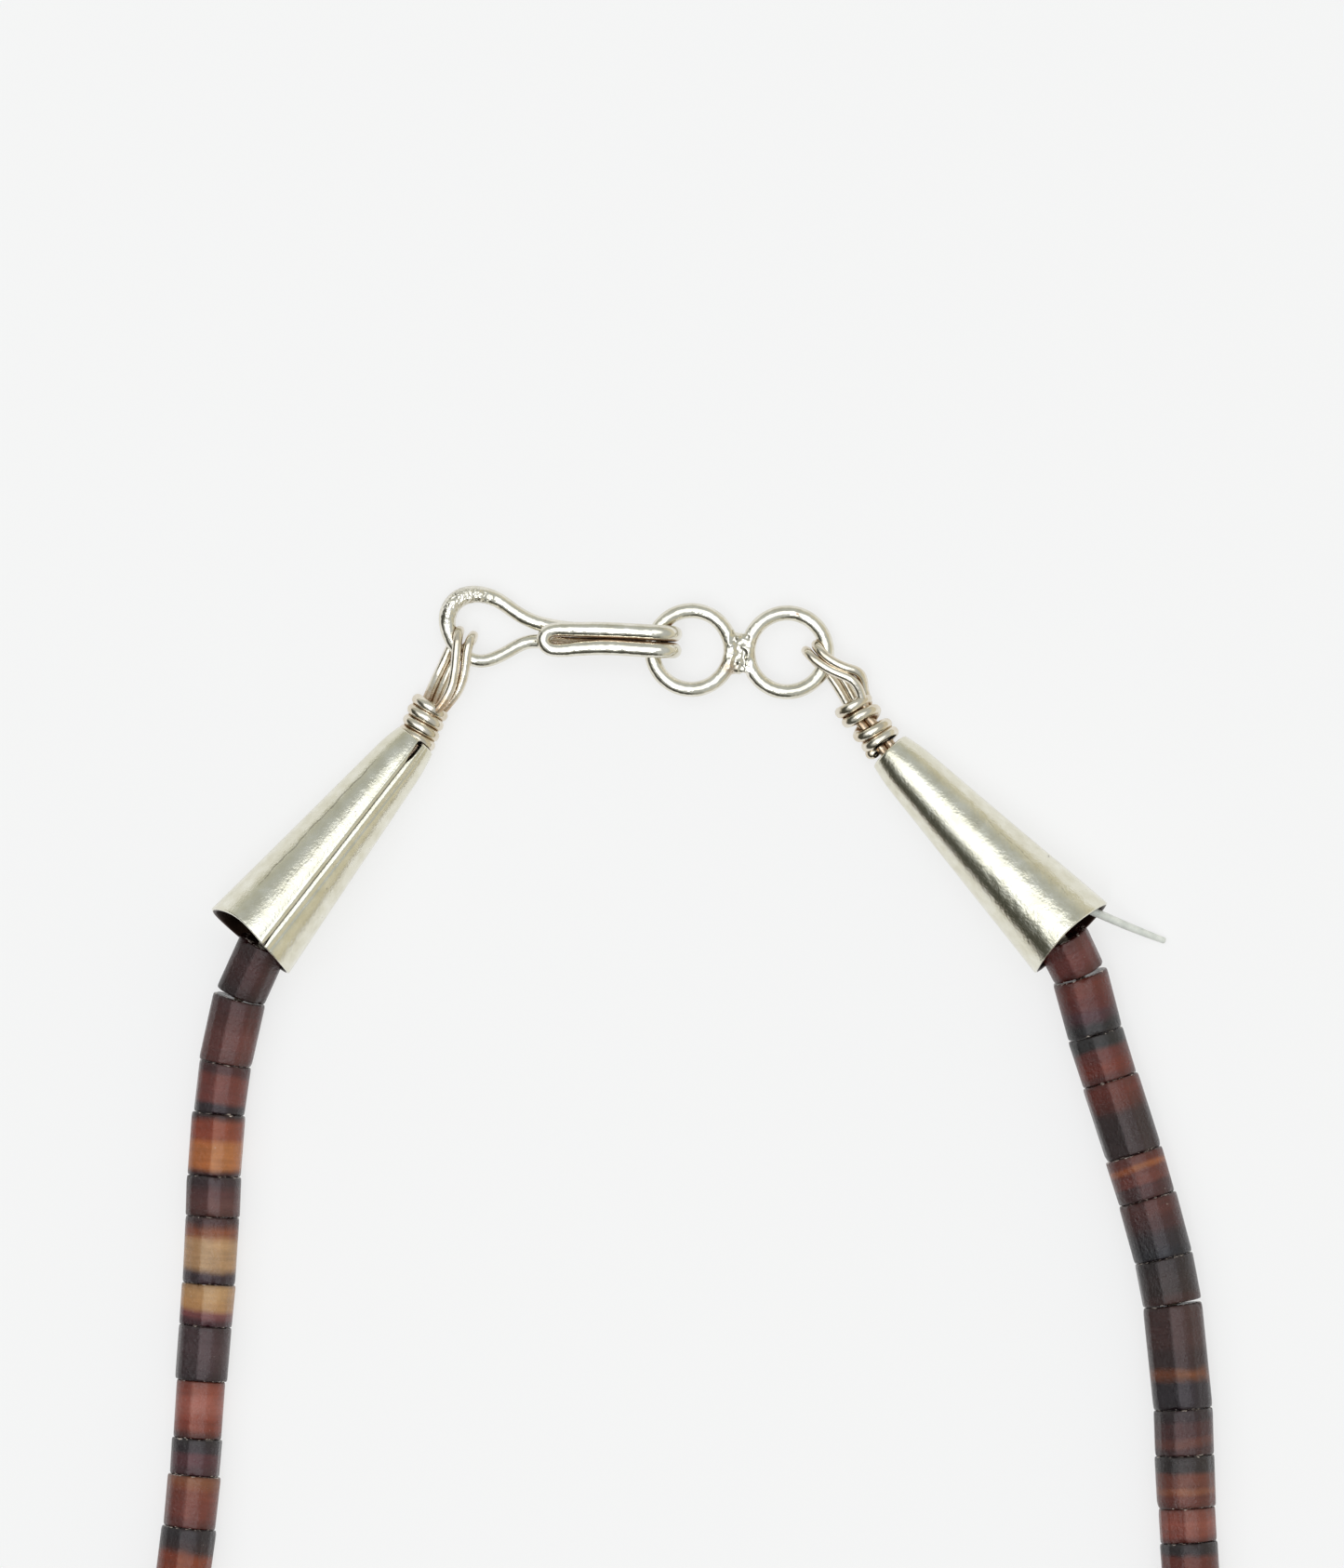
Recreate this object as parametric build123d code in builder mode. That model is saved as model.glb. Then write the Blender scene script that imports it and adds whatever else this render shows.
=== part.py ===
"""A strung necklace of drilled shell tubes, closed by a silver wire hook and a soldered pair of rings.

It lies flat on a surface with its closure at the top. All sizes are millimetres. It is laid out with +X
to the right, +Y away and +Z up from the surface, from the hook outwards to both sides: hook, rings, wire
loops, cones, thread and beads. At the end the whole necklace is moved so that the origin is the middle
of the bottom of its bounding box.
"""

from build123d import *
from collections import namedtuple
from math import acos, atan2, cos, degrees, pi, radians, sin, sqrt, tan
import os

# Clearances
link_gap = 0.1  # between two wires that are linked, through the thickness
fold_gap = 0.25  # between the ring and the hook's fold
strand_gap = 0.05  # between strands of one wire that lie side by side
bead_gap = 0.14  # between the nearest edges of two beads
bore_gap = 0.4  # between the thread and the wall of a bead's bore
floor_gap = 0.02  # under a wire loop
fullness = 0.94  # of the largest radius that fits a fold

# Hook: one closed wire with an eye, two legs, a fold back over the ring and a round end. Its own X runs
# along the legs from the fold, so the eye and neck have negative places.
hook_wire = 1.15
hook_fold_x, hook_fold_y = -6.35, 0.81
hook_slant = -2.2  # degrees in plan
hook_leg_spacing = 1.31
hook_return = 8.3  # from the fold back to the round end
hook_end_spread = 1.04  # of the round end's legs, as a share of the spacing
hook_end_gap = 0.5  # between the round end and the legs under it
hook_eye_radius = 2.5  # to the middle of the wire
hook_eye_x, hook_eye_y = -12.9, 0.68
hook_neck_x = -8.8
hook_neck_lift, hook_low_lift = 0.36, 0.47  # how far each leg rises to the neck
hook_solder = 1.32  # thickness of the soldered stretch of the eye
hook_solder_from, hook_solder_to = 72, 172  # degrees round the eye

# Pair of rings
ring_wire = 1.14
ring_outer = 6.97
ring_pitch = 7.1
ring_slant = -1.4  # degrees in plan
ring_slack = 0.27  # from the middle of the hook's fold to the middle of the ring's wire in it
ring_drop = 0.63  # from the middle of the hook's legs to the middle of the rings, in plan
solder_top, solder_bottom = 1.35, 1.75
solder_flare = 0.2  # how much further the solder runs along each ring than in its middle
solder_thickness = 0.9

# Wire loops, each a doubled wire wrapped about itself between the cone and what it is linked to. The link
# is a place in degrees round the eye or ring, the stem is the distance from there to the cone's narrow
# end, and the heading is the stem's. The tip hangs loose by the slack and leans to the right, the upper
# strands bow to the right, and the turns start past the cone's end.
loop_wire = 0.66
wrap_turns = 4
bight_depth = 4.0  # how far the doubled end reaches into the cone
WireLoop = namedtuple("WireLoop", "link stem heading slack lean bow wrap_start")
left_loop = WireLoop(link=219, stem=7.46, heading=67.2, slack=0.4, lean=0.34, bow=0.55, wrap_start=0.95)
right_loop = WireLoop(link=-23, stem=7.79, heading=128.9, slack=0.79, lean=0, bow=1.1, wrap_start=0.7)

# Cones rolled from sheet, each lying on its side
cone_length = 19.4
cone_narrow, cone_wide = 3.65, 7.5  # outer diameters
cone_wall = 0.4
cone_seam = 0.08
cone_seam_narrow, cone_seam_wide = 0.42, 0.14  # width of the seam at the two ends
cone_seam_run = 2.0  # length over which the seam closes
left_cone_heading, right_cone_heading = 230.7, 314.0
left_seam_angle, right_seam_angle = -15.0, 200.0  # degrees from the top

# Thread and its tail
thread_diameter = 0.8
tail_diameter = 0.5
tail_inside, tail_outside = 5.8, 6.1
tail_side = 2.35  # off the cone's axis where it leaves the mouth
tail_heading = -22.5

# Where the first bead on each side begins: inside the mouth, off the cone's axis to the side and down
entry_depth = 0.75
left_entry_side, left_entry_drop = -0.75, 0.26
right_entry_side, right_entry_drop = 0.3, 0.41
rise = 0.3  # of the thread at the far end of the first bead
inside_side = 0.35  # how far the thread swings off the axis inside each cone
inside_share = 0.62  # where it does, as a share of the cone's length

# Route of the strung beads in plan, from the left cone's mouth round to the right one's
Stop = namedtuple("Stop", "x y")
route_stops = [
    Stop(-37.05, -25.0),
    Stop(-38.25, -30.3),
    Stop(-38.95, -36.6),
    Stop(-39.2, -44.4),
    Stop(-39.95, -53.2),
    Stop(-40.55, -62.6),
    Stop(-42.6, -77.5),
    Stop(-45.0, -99.0),
    Stop(-46.5, -127.0),
    Stop(-46.9, -158.0),
    Stop(-46.0, -188.0),
    Stop(-42.6, -213.0),
    Stop(-35.4, -233.5),
    Stop(-25.0, -248.0),
    Stop(-12.3, -256.5),
    Stop(4.1, -256.5),
    Stop(16.8, -248.0),
    Stop(27.2, -233.5),
    Stop(34.4, -213.0),
    Stop(37.8, -188.0),
    Stop(38.7, -158.0),
    Stop(38.0, -127.0),
    Stop(36.3, -99.0),
    Stop(33.9, -77.5),
    Stop(32.85, -62.6),
    Stop(32.55, -52.6),
    Stop(31.3, -44.6),
    Stop(28.5, -35.3),
    Stop(26.2, -28.4),
    Stop(24.95, -23.5),
]

# Beads in order from each cone. The hidden ones run through the same mixture again.
Bead = namedtuple("Bead", "length diameter")
left_mix = [
    Bead(4.1, 3.8),
    Bead(4.6, 3.95),
    Bead(3.45, 3.9),
    Bead(4.4, 4.0),
    Bead(2.8, 4.05),
    Bead(4.8, 4.0),
    Bead(2.95, 4.0),
    Bead(3.9, 3.9),
    Bead(4.15, 3.6),
    Bead(2.55, 3.75),
    Bead(3.7, 3.95),
    Bead(4.4, 4.1),
]
right_mix = [
    Bead(2.85, 4.05),
    Bead(4.1, 4.2),
    Bead(3.4, 4.2),
    Bead(5.55, 4.3),
    Bead(3.25, 4.4),
    Bead(4.3, 4.4),
    Bead(3.15, 4.4),
    Bead(7.5, 4.4),
    Bead(3.2, 4.4),
    Bead(3.7, 4.45),
    Bead(2.4, 4.2),
    Bead(3.9, 4.3),
]
bead_chamfer = 0.12

up = Vector(0, 0, 1)
pieces = []


def heading(angle):
    """The level direction at an angle in degrees from +X."""
    return Vector(cos(radians(angle)), sin(radians(angle)), 0)


def section(path, diameter, place=0):
    """A round section square to a path, at a place from 0 to 1 along it."""
    with BuildSketch(Plane(origin=path @ place, z_dir=path % place)) as sketch:
        Circle(diameter / 2)
    return sketch.sketch


def finish(builder, name):
    """Name a finished piece and keep it for export."""
    builder.part.label = name
    pieces.append(builder.part)


# Hook. Its plane rises from the fold to the eye, which stands clear over the left wire loop.
loop_low = floor_gap + loop_wire / 2
fold_radius = (hook_wire + ring_wire) / 2 + fold_gap
link_height = loop_low + (loop_wire + hook_wire) / 2 + link_gap
link_reach = -hook_eye_x - hook_eye_radius * cos(radians(left_loop.link))
hook_tilt = atan2(link_height - hook_wire / 2, link_reach)
hook_along = heading(hook_slant) * cos(hook_tilt) - up * sin(hook_tilt)
hook_plane = Plane(
    origin=(hook_fold_x, hook_fold_y, hook_wire / 2),
    x_dir=hook_along,
    z_dir=hook_along.cross(heading(hook_slant + 90)),
)
leg = hook_leg_spacing / 2
neck = Vector(hook_neck_x, leg + hook_neck_lift)
low_neck = Vector(hook_neck_x - hook_neck_lift / 2, -leg + hook_low_lift)
eye = Vector(hook_eye_x, hook_eye_y)


def touch_angle(point, side):
    """Degrees round the eye to where a line from a point touches it, on side 1 or -1 of the point."""
    out = point - eye
    return degrees(atan2(out.Y, out.X) + side * acos(hook_eye_radius / out.length))


eye_from, eye_to = touch_angle(neck, 1), touch_angle(low_neck, -1) + 360
eye_step = (eye_to - eye_from) / 3
eye_corners = [
    eye + heading(eye_to - eye_step * (k + 0.5)) * (hook_eye_radius / cos(radians(eye_step / 2)))
    for k in range(3)
]
fold_bend = fold_radius * fullness
end_half = leg * hook_end_spread
end_bend = end_half * fullness
end_height = hook_wire + hook_end_gap
leg_bend, low_neck_bend, neck_bend = 2 * hook_wire, 1.4 * hook_wire, 3 * hook_wire
hook_corners = [
    (Vector(fold_radius, leg, 0), fold_bend),
    (Vector(fold_radius, leg, 2 * fold_radius), fold_bend),
    (Vector(-hook_return, end_half, end_height), end_bend),
    (Vector(-hook_return, -end_half, end_height), end_bend),
    (Vector(fold_radius, -leg, 2 * fold_radius), fold_bend),
    (Vector(fold_radius, -leg, 0), fold_bend),
    (Vector(hook_neck_x + low_neck_bend, -leg, 0), leg_bend),
    (low_neck, low_neck_bend),
    *[(corner, hook_eye_radius) for corner in eye_corners],
    (neck, neck_bend),
]
with BuildPart() as hook:
    with BuildLine() as hook_line:
        hook_points = [hook_plane.from_local_coords(corner) for corner, _ in hook_corners]
        FilletPolyline(*hook_points, radius=[radius for _, radius in hook_corners], close=True)
    hook_edges = hook_line.wires()[0].edges()
    half = len(hook_edges) // 2
    for run in (Wire(hook_edges[:half]), Wire(hook_edges[half:])):
        sweep(section(run, hook_wire), path=run)
    solder_angles = (hook_solder_from, (hook_solder_from + hook_solder_to) / 2, hook_solder_to)
    solder_points = [eye + heading(angle) * hook_eye_radius for angle in solder_angles]
    with BuildLine() as solder_line:
        ThreePointArc(*[hook_plane.from_local_coords(point) for point in solder_points])
    solder_path = solder_line.wires()[0]
    solder_edge = 2 * hook_wire - hook_solder - 2 * link_gap  # inside the wire, so the lump fades into it
    solder_swell = ((0, solder_edge), (0.5, hook_solder), (1, solder_edge))
    solder_sections = [section(solder_path, diameter, place) for place, diameter in solder_swell]
    sweep(solder_sections, path=solder_path, multisection=True)
finish(hook, "hook")

# Pair of rings. The hook's fold holds one, midway between the leg and the sloping return over it, and the
# right wire loop holds the other.
ring_middle = (ring_outer - ring_wire) / 2
return_slope = (2 * fold_radius - end_height) / (fold_radius + hook_return)
return_height = 2 * fold_radius - return_slope * (fold_radius + ring_slack)
ring_left_height = (hook_wire + return_height) / 2 + ring_slack * tan(hook_tilt)
ring_right_height = loop_low + (loop_wire + ring_wire) / 2 + link_gap
ring_tilt = atan2(ring_left_height - ring_right_height, ring_pitch + 2 * ring_middle)
ring_along = heading(ring_slant) * cos(ring_tilt) - up * sin(ring_tilt)
ring_centre = Vector(
    hook_fold_x - ring_slack + ring_middle + ring_pitch / 2,
    hook_fold_y - ring_drop,
    (ring_left_height + ring_right_height) / 2,
)
ring_plane = Plane(
    origin=ring_centre, x_dir=ring_along, z_dir=ring_along.cross(heading(ring_slant + 90))
)


def on_ring(height):
    """Point of the right ring's middle line at a height in the rings' plane, on its left side."""
    return ring_pitch / 2 - sqrt(ring_middle**2 - height**2), height


top_x, top_y = on_ring(solder_top + solder_flare)
low_x, low_y = on_ring(-solder_bottom - solder_flare)
waist, _ = on_ring(0)
with BuildPart(ring_plane) as double_ring:
    with Locations((-ring_pitch / 2, 0), (ring_pitch / 2, 0)):
        Torus(ring_middle, ring_wire / 2)
    with BuildSketch(ring_plane):
        with BuildLine():
            ThreePointArc((-top_x, top_y), (0, solder_top), (top_x, top_y))
            ThreePointArc((top_x, top_y), (waist, 0), (low_x, low_y))
            ThreePointArc((low_x, low_y), (0, -solder_bottom), (-low_x, low_y))
            ThreePointArc((-low_x, low_y), (-waist, 0), (-top_x, top_y))
        make_face()
    extrude(amount=solder_thickness / 2, both=True)
finish(double_ring, "double_ring")

# Where the wire loops are linked, and from there the narrow ends of the cones in plan
right_ring = Vector(ring_pitch / 2, 0)
left_link_point = hook_plane.from_local_coords(eye + heading(left_loop.link) * hook_eye_radius)
right_link_point = ring_plane.from_local_coords(right_ring + heading(right_loop.link) * ring_middle)
left_end = left_link_point - heading(left_loop.heading) * left_loop.stem
right_end = right_link_point - heading(right_loop.heading) * right_loop.stem

# Cones. A half angle tilts each one's axis up from the surface.
cone_half_angle = atan2((cone_wide - cone_narrow) / 2, cone_length)
mouth = cone_length * cos(cone_half_angle)


def axis_height(depth):
    """Height of a cone's axis at a level distance from its narrow end."""
    return cone_narrow / 2 * cos(cone_half_angle) + depth * tan(cone_half_angle)


def make_cone(name, end, angle, seam_angle):
    """A frustum shell from its narrow end, with a butted seam that opens at both ends."""
    origin = Vector(end.X, end.Y, axis_height(0))
    axis = heading(angle) * cos(cone_half_angle) + up * sin(cone_half_angle)
    normal = up * cos(cone_half_angle) - heading(angle) * sin(cone_half_angle)
    side = axis.cross(normal)
    seam = normal * cos(radians(seam_angle)) + side * sin(radians(seam_angle))
    with BuildPart() as cone:
        with BuildSketch(Plane(origin=origin, x_dir=axis, z_dir=side)):
            with BuildLine():
                Polyline(
                    (0, cone_narrow / 2 - cone_wall),
                    (0, cone_narrow / 2 - cone_wall / 4),
                    (cone_wall / 3, cone_narrow / 2),
                    (cone_length, cone_wide / 2),
                    (cone_length, cone_wide / 2 - cone_wall),
                    close=True,
                )
            make_face()
        revolve(axis=Axis(origin, axis))
        seam_edge = [
            (-cone_wall, cone_seam_narrow / 2),
            (cone_seam_run, cone_seam / 2),
            (cone_length - cone_seam_run, cone_seam / 2),
            (cone_length + cone_wall, cone_seam_wide / 2),
        ]
        other_edge = [(along, -across) for along, across in reversed(seam_edge)]
        with BuildSketch(Plane(origin=origin, x_dir=axis, z_dir=seam)):
            with BuildLine():
                Polyline(*seam_edge, *other_edge, close=True)
            make_face()
        extrude(amount=cone_wide, mode=Mode.SUBTRACT)
    finish(cone, name)


make_cone("left_cone", left_end, left_cone_heading, left_seam_angle)
make_cone("right_cone", right_end, right_cone_heading, right_seam_angle)

# Wire loops. X runs from the cone's narrow end towards the link outside the cone, and out of the cone's
# mouth backwards inside it. The four strands turn about the stem in an oval.
strand_step = loop_wire + strand_gap
bight_radius = (thread_diameter + loop_wire) / 2 + link_gap
knot_reach = bight_depth + bight_radius
knot_height = axis_height(knot_reach) - 2 * link_gap
stem_height = floor_gap + 2 * strand_step
left_inner = Plane(origin=(left_end.X, left_end.Y, 0), x_dir=-heading(left_cone_heading))
right_inner = Plane(origin=(right_end.X, right_end.Y, 0), x_dir=-heading(right_cone_heading))
left_outer = Plane(origin=(left_end.X, left_end.Y, 0), x_dir=heading(left_loop.heading))
right_outer = Plane(origin=(right_end.X, right_end.Y, 0), x_dir=heading(right_loop.heading))


def strand_corners(inner, outer, loop, side, linked_wire, first_turn):
    """Corners and bends of one strand from the bight in the cone, round the link and back to the wraps."""
    tip = loop.stem + (linked_wire + loop_wire) / 2 + link_gap + loop.slack
    high = loop_low + loop_wire + linked_wire + 2 * link_gap
    ease = 2 * loop_wire
    hairpin = (high - loop_low) / 2 * fullness
    apart = side * strand_step / 2
    tip_apart = side * (strand_step / 2 + 2 * strand_gap) - loop.lean
    inside = [
        ((-knot_reach, side * bight_radius, knot_height), bight_radius * fullness),
        ((-bight_depth + loop_wire, side * bight_radius, knot_height), ease),
        ((-bight_depth / 2, apart, knot_height - link_gap), ease),
    ]
    outside = [
        ((loop_wire / 2, apart, stem_height), ease),
        ((first_turn + loop_wire, apart, stem_height + strand_gap), ease),
        ((first_turn + 3 * loop_wire, apart + side * strand_gap, loop_low), ease),
        ((tip, tip_apart, loop_low), hairpin),
        ((tip, tip_apart, high), hairpin),
        (((tip + first_turn) / 2, apart - loop.bow, high - strand_gap), ease),
        ((first_turn + strand_gap, apart, stem_height + strand_step + link_gap), ease),
    ]
    return [(inner.from_local_coords(point), bend) for point, bend in inside] + [
        (outer.from_local_coords(point), bend) for point, bend in outside
    ]


def make_wire_loop(name, inner, outer, loop, linked_wire):
    """A doubled wire round a linked one, and the close turns about its own stem."""
    first_turn = loop.wrap_start + wrap_turns * strand_step + loop_wire / 2
    ways = [strand_corners(inner, outer, loop, side, linked_wire, first_turn) for side in (1, -1)]
    corners = ways[0][::-1] + ways[1]
    half_width, half_height = strand_step * 1.5, strand_step
    oval = [(-half_width, half_height), (-half_width, -half_height), (half_width, -half_height)]
    oval.append((half_width, half_height))
    turns = [(first_turn, half_width - 4 * strand_gap, stem_height + half_height)]
    for quarter in range(4 * wrap_turns - 1):
        across, lift = oval[quarter % 4]
        turns.append((first_turn - (quarter + 1) * strand_step / 4, across, stem_height + lift))
    turns.append((first_turn - wrap_turns * strand_step, half_width, stem_height))
    with BuildPart() as wire_loop:
        with BuildLine() as line:
            FilletPolyline(*[point for point, _ in corners], radius=[bend for _, bend in corners[1:-1]])
        sweep(section(line.wires()[0], loop_wire), path=line.wires()[0])
        turn_bend = (half_height - strand_gap) * fullness
        with BuildLine() as wrap_line:
            FilletPolyline(*[outer.from_local_coords(turn) for turn in turns], radius=turn_bend)
        sweep(section(wrap_line.wires()[0], loop_wire), path=wrap_line.wires()[0])
    finish(wire_loop, name)


make_wire_loop("left_wire_loop", left_inner, left_outer, left_loop, hook_wire)
make_wire_loop("right_wire_loop", right_inner, right_outer, right_loop, ring_wire)

# Thread. It ends in a knotted ring round each bight and runs through every bead.
thread_height = sum(bead.diameter for bead in left_mix + right_mix) / len(left_mix + right_mix) / 2


def thread_in_cone(inner, side, drop, swing):
    """The thread's points from the knot to where the first bead begins."""
    middle = mouth * inside_share
    return [
        inner.from_local_coords((-knot_reach - bight_radius, 0, knot_height)),
        inner.from_local_coords((-middle, swing, axis_height(middle) - inside_side)),
        inner.from_local_coords((-mouth + entry_depth, side, axis_height(mouth) - drop)),
    ]


stops = [Vector(stop.x, stop.y, thread_height) for stop in route_stops]
stops[0] += up * rise
stops[-1] += up * rise
left_run = thread_in_cone(left_inner, left_entry_side, left_entry_drop, -inside_side)
right_run = thread_in_cone(right_inner, right_entry_side, right_entry_drop, inside_side)
thread_points = left_run + stops + right_run[::-1]


def bend_radii(points):
    """As large a radius at each corner as its two runs allow."""
    radii = []
    for before, corner, after in zip(points, points[1:], points[2:]):
        shorter = min((corner - before).length, (after - corner).length)
        turn = radians((corner - before).get_angle(after - corner))
        radii.append(0.45 * shorter / tan(turn / 2))
    return radii


def run_length(points):
    """Length of straight runs through points."""
    return sum((after - before).length for before, after in zip(points, points[1:]))


thread_radii = bend_radii(thread_points)
with BuildPart() as thread:
    with BuildLine() as thread_line:
        FilletPolyline(*thread_points, radius=thread_radii)
    route = thread_line.wires()[0]
    sweep(section(route, thread_diameter), path=route)
    thread_volume = thread.part.volume
    for inner in (left_inner, right_inner):
        knot = inner.from_local_coords((-knot_reach, 0, knot_height))
        ring_section = Plane(origin=knot + inner.x_dir * bight_radius, x_dir=inner.x_dir, z_dir=up)
        with BuildSketch(ring_section):
            Circle(thread_diameter / 2)
        revolve(axis=Axis(knot, inner.y_dir))
finish(thread, "thread")
print("thread radii", [round(radius, 1) for radius in thread_radii])
print("thread length", round(route.length, 1), "volume", round(thread_volume, 2))
print("section times length", round(pi * (thread_diameter / 2) ** 2 * route.length, 2))


# Beads, walked along the thread from each cone to the middle of the hidden stretch
def bead_solid(start, end, radius):
    """A drilled tube between two points of the thread, its outer rims chamfered."""
    with BuildPart() as bead:
        with BuildSketch(Plane(origin=start, z_dir=end - start)):
            Circle(radius)
            Circle(thread_diameter / 2 + bore_gap, mode=Mode.SUBTRACT)
        extrude(amount=(end - start).length)
        rims = bead.edges().filter_by(GeomType.CIRCLE).sort_by(SortBy.RADIUS)[-2:]
        chamfer(rims, length=bead_chamfer)
    return bead.part


def string_of_beads(mix, place, backwards):
    """Beads in the order of a mixture, from a place on the thread to its middle. Each one rests on the
    surface, and their gaps open with the bend between them."""

    def at(length):
        along = route.length - length if backwards else length
        return route.position_at(along, position_mode=PositionMode.LENGTH)

    beads = []
    shortest = min(bead.length for bead in mix)
    middle = route.length / 2 - bead_gap
    axis = at(place + shortest) - at(place)
    while middle - place > shortest:
        row = mix[len(beads) % len(mix)]
        radius = row.diameter / 2
        turn = radians(axis.get_angle(at(place + row.length) - at(place)))
        place += bead_gap + 2 * radius * tan(turn / 2)
        length = row.length if middle - place - row.length > shortest else middle - place
        lift = up * (radius - thread_height)
        start, end = at(place) + lift, at(place + length) + lift
        axis = end - start
        beads.append(bead_solid(start, end, radius))
        place += length
    return beads


with BuildPart() as left_beads:
    add(string_of_beads(left_mix, run_length(left_run), False))
finish(left_beads, "left_beads")
with BuildPart() as right_beads:
    add(string_of_beads(right_mix, run_length(right_run), True))
finish(right_beads, "right_beads")
print("beads", len(left_beads.solids()), len(right_beads.solids()))

# Tail of thread that stands out of the right cone's mouth and comes down to the surface
tail_height = axis_height(mouth) - tail_diameter / 2
tail_exit = right_inner.from_local_coords((-mouth + tail_diameter, -tail_side, tail_height))
tail_run = heading(tail_heading)
tail_start = tail_exit - tail_run * tail_inside + up * tail_diameter / 4
tail_end = tail_exit + tail_run * tail_outside - up * (tail_height - tail_diameter)
with BuildPart() as thread_tail:
    with BuildLine() as tail_line:
        FilletPolyline(tail_start, tail_exit, tail_end, radius=6 * tail_diameter)
    sweep(section(tail_line.wires()[0], tail_diameter), path=tail_line.wires()[0])
finish(thread_tail, "thread_tail")

# The origin goes to the middle of the bottom of the whole necklace
box = Compound(pieces).bounding_box()
origin = Vector((box.min.X + box.max.X) / 2, (box.min.Y + box.max.Y) / 2, box.min.Z)
print("layout origin at", -origin, "size", box.size)
os.makedirs("parts", exist_ok=True)
for piece in pieces:
    export_step(piece.moved(Location(-origin)), f"parts/{piece.label}.step")
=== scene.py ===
import bpy
import numpy as np
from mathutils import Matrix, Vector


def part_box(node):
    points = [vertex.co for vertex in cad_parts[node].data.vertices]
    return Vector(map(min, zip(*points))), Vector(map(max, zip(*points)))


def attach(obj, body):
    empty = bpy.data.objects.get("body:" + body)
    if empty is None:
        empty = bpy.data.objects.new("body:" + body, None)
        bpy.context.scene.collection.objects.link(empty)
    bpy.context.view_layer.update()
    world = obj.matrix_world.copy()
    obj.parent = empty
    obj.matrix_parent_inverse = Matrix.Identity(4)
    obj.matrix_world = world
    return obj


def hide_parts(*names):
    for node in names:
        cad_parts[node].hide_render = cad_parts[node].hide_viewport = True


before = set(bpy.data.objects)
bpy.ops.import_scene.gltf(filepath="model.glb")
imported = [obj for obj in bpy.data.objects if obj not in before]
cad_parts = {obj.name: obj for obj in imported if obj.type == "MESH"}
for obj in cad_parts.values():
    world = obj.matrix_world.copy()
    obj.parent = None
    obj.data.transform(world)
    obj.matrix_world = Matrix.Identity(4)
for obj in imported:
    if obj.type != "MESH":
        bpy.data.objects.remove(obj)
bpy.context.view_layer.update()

# The white surface, the camera straight above it and the light: a large soft lamp overhead, a little to the
# left, with a bright strip in front of it that draws the thin highlights, in a pale room that is dark grey
# low down on the left and cream low down on the right.
camera_height, nearest_seen = 0.8, 0.01
view_middle = (-0.00112, 0.11711)
view_long_side = 0.11628
lamps = [  # name, place to the right of the view's middle, behind it and above it, width, length, energy
    ("softbox", (-0.22, 0.18, 1.3), 1.7, 1.1, 6.2),
    ("strip", (-0.16, -0.36, 1.25), 0.22, 0.7, 2.6),
]
lamp_colour = (0.98, 0.99, 1.0)
room_tones = [(0.0, "C6C5B6"), (0.5, "BCBFBC"), (1.0, "CDD1D4")]  # from the horizon up
room_sides = [  # towards, the share towards it where a side starts and is full, the same of height, colour
    ((-0.82, -0.57, 0), 0.25, 0.5, 0.72, 0.5, "4E4E47"),
    ((1, 0, 0), 0.3, 0.6, 0.6, 0.4, "DCD7C4"),
]
surface_size, surface_height, surface_glow = 3, -0.00002, 0.678


def linear(colour):
    """Linear RGBA of an sRGB hex colour: the sRGB curve undone for each channel."""
    value = np.array([int(colour[k : k + 2], 16) / 255 for k in (0, 2, 4)])
    value = np.where(value <= 0.04045, value / 12.92, ((value + 0.055) / 1.055) ** 2.4)
    return (*value.tolist(), 1.0)


def join(tree, node, inputs):
    """Each named input of a node is set to a value or linked to a socket."""
    for name, value in inputs.items():
        if isinstance(value, bpy.types.NodeSocket):
            tree.links.new(value, node.inputs[name])
        else:
            node.inputs[name].default_value = value


def add(tree, kind, inputs=None, output=0, stops=(), **settings):
    """One output of a new node of a kind, with its settings made and its inputs joined. Stops are the places
    and hex colours of a colour ramp."""
    new = tree.nodes.new("ShaderNode" + kind)
    for name, value in settings.items():
        setattr(new, name, value)
    join(tree, new, inputs or {})
    if stops:
        for place, _ in stops[2:]:
            new.color_ramp.elements.new(place)
        for element, (place, colour) in zip(new.color_ramp.elements, stops):
            element.position = place
            element.color = linear(colour)
    return new.outputs[output]


def blank_material(name):
    """A new material with its node tree."""
    material = bpy.data.materials.new(name)
    material.use_nodes = True
    return material, material.node_tree


scene = bpy.context.scene
scene.view_settings.view_transform = "Standard"
scene.view_settings.look = "None"

camera = bpy.data.objects.new("camera", bpy.data.cameras.new("camera"))
scene.collection.objects.link(camera)
camera.location = (*view_middle, camera_height)
camera.data.lens = camera.data.sensor_width * camera_height / view_long_side
camera.data.clip_start = nearest_seen
scene.camera = camera

for name, (x, y, z), width, length, energy in lamps:
    lamp = bpy.data.objects.new(name, bpy.data.lights.new(name, "AREA"))
    scene.collection.objects.link(lamp)
    lamp.location = (view_middle[0] + x, view_middle[1] + y, z)
    lamp.rotation_euler = (-y / z, x / z, 0.0)
    lamp.data.shape = "RECTANGLE"
    lamp.data.size, lamp.data.size_y = width, length
    lamp.data.energy = energy
    lamp.data.color = lamp_colour

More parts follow.
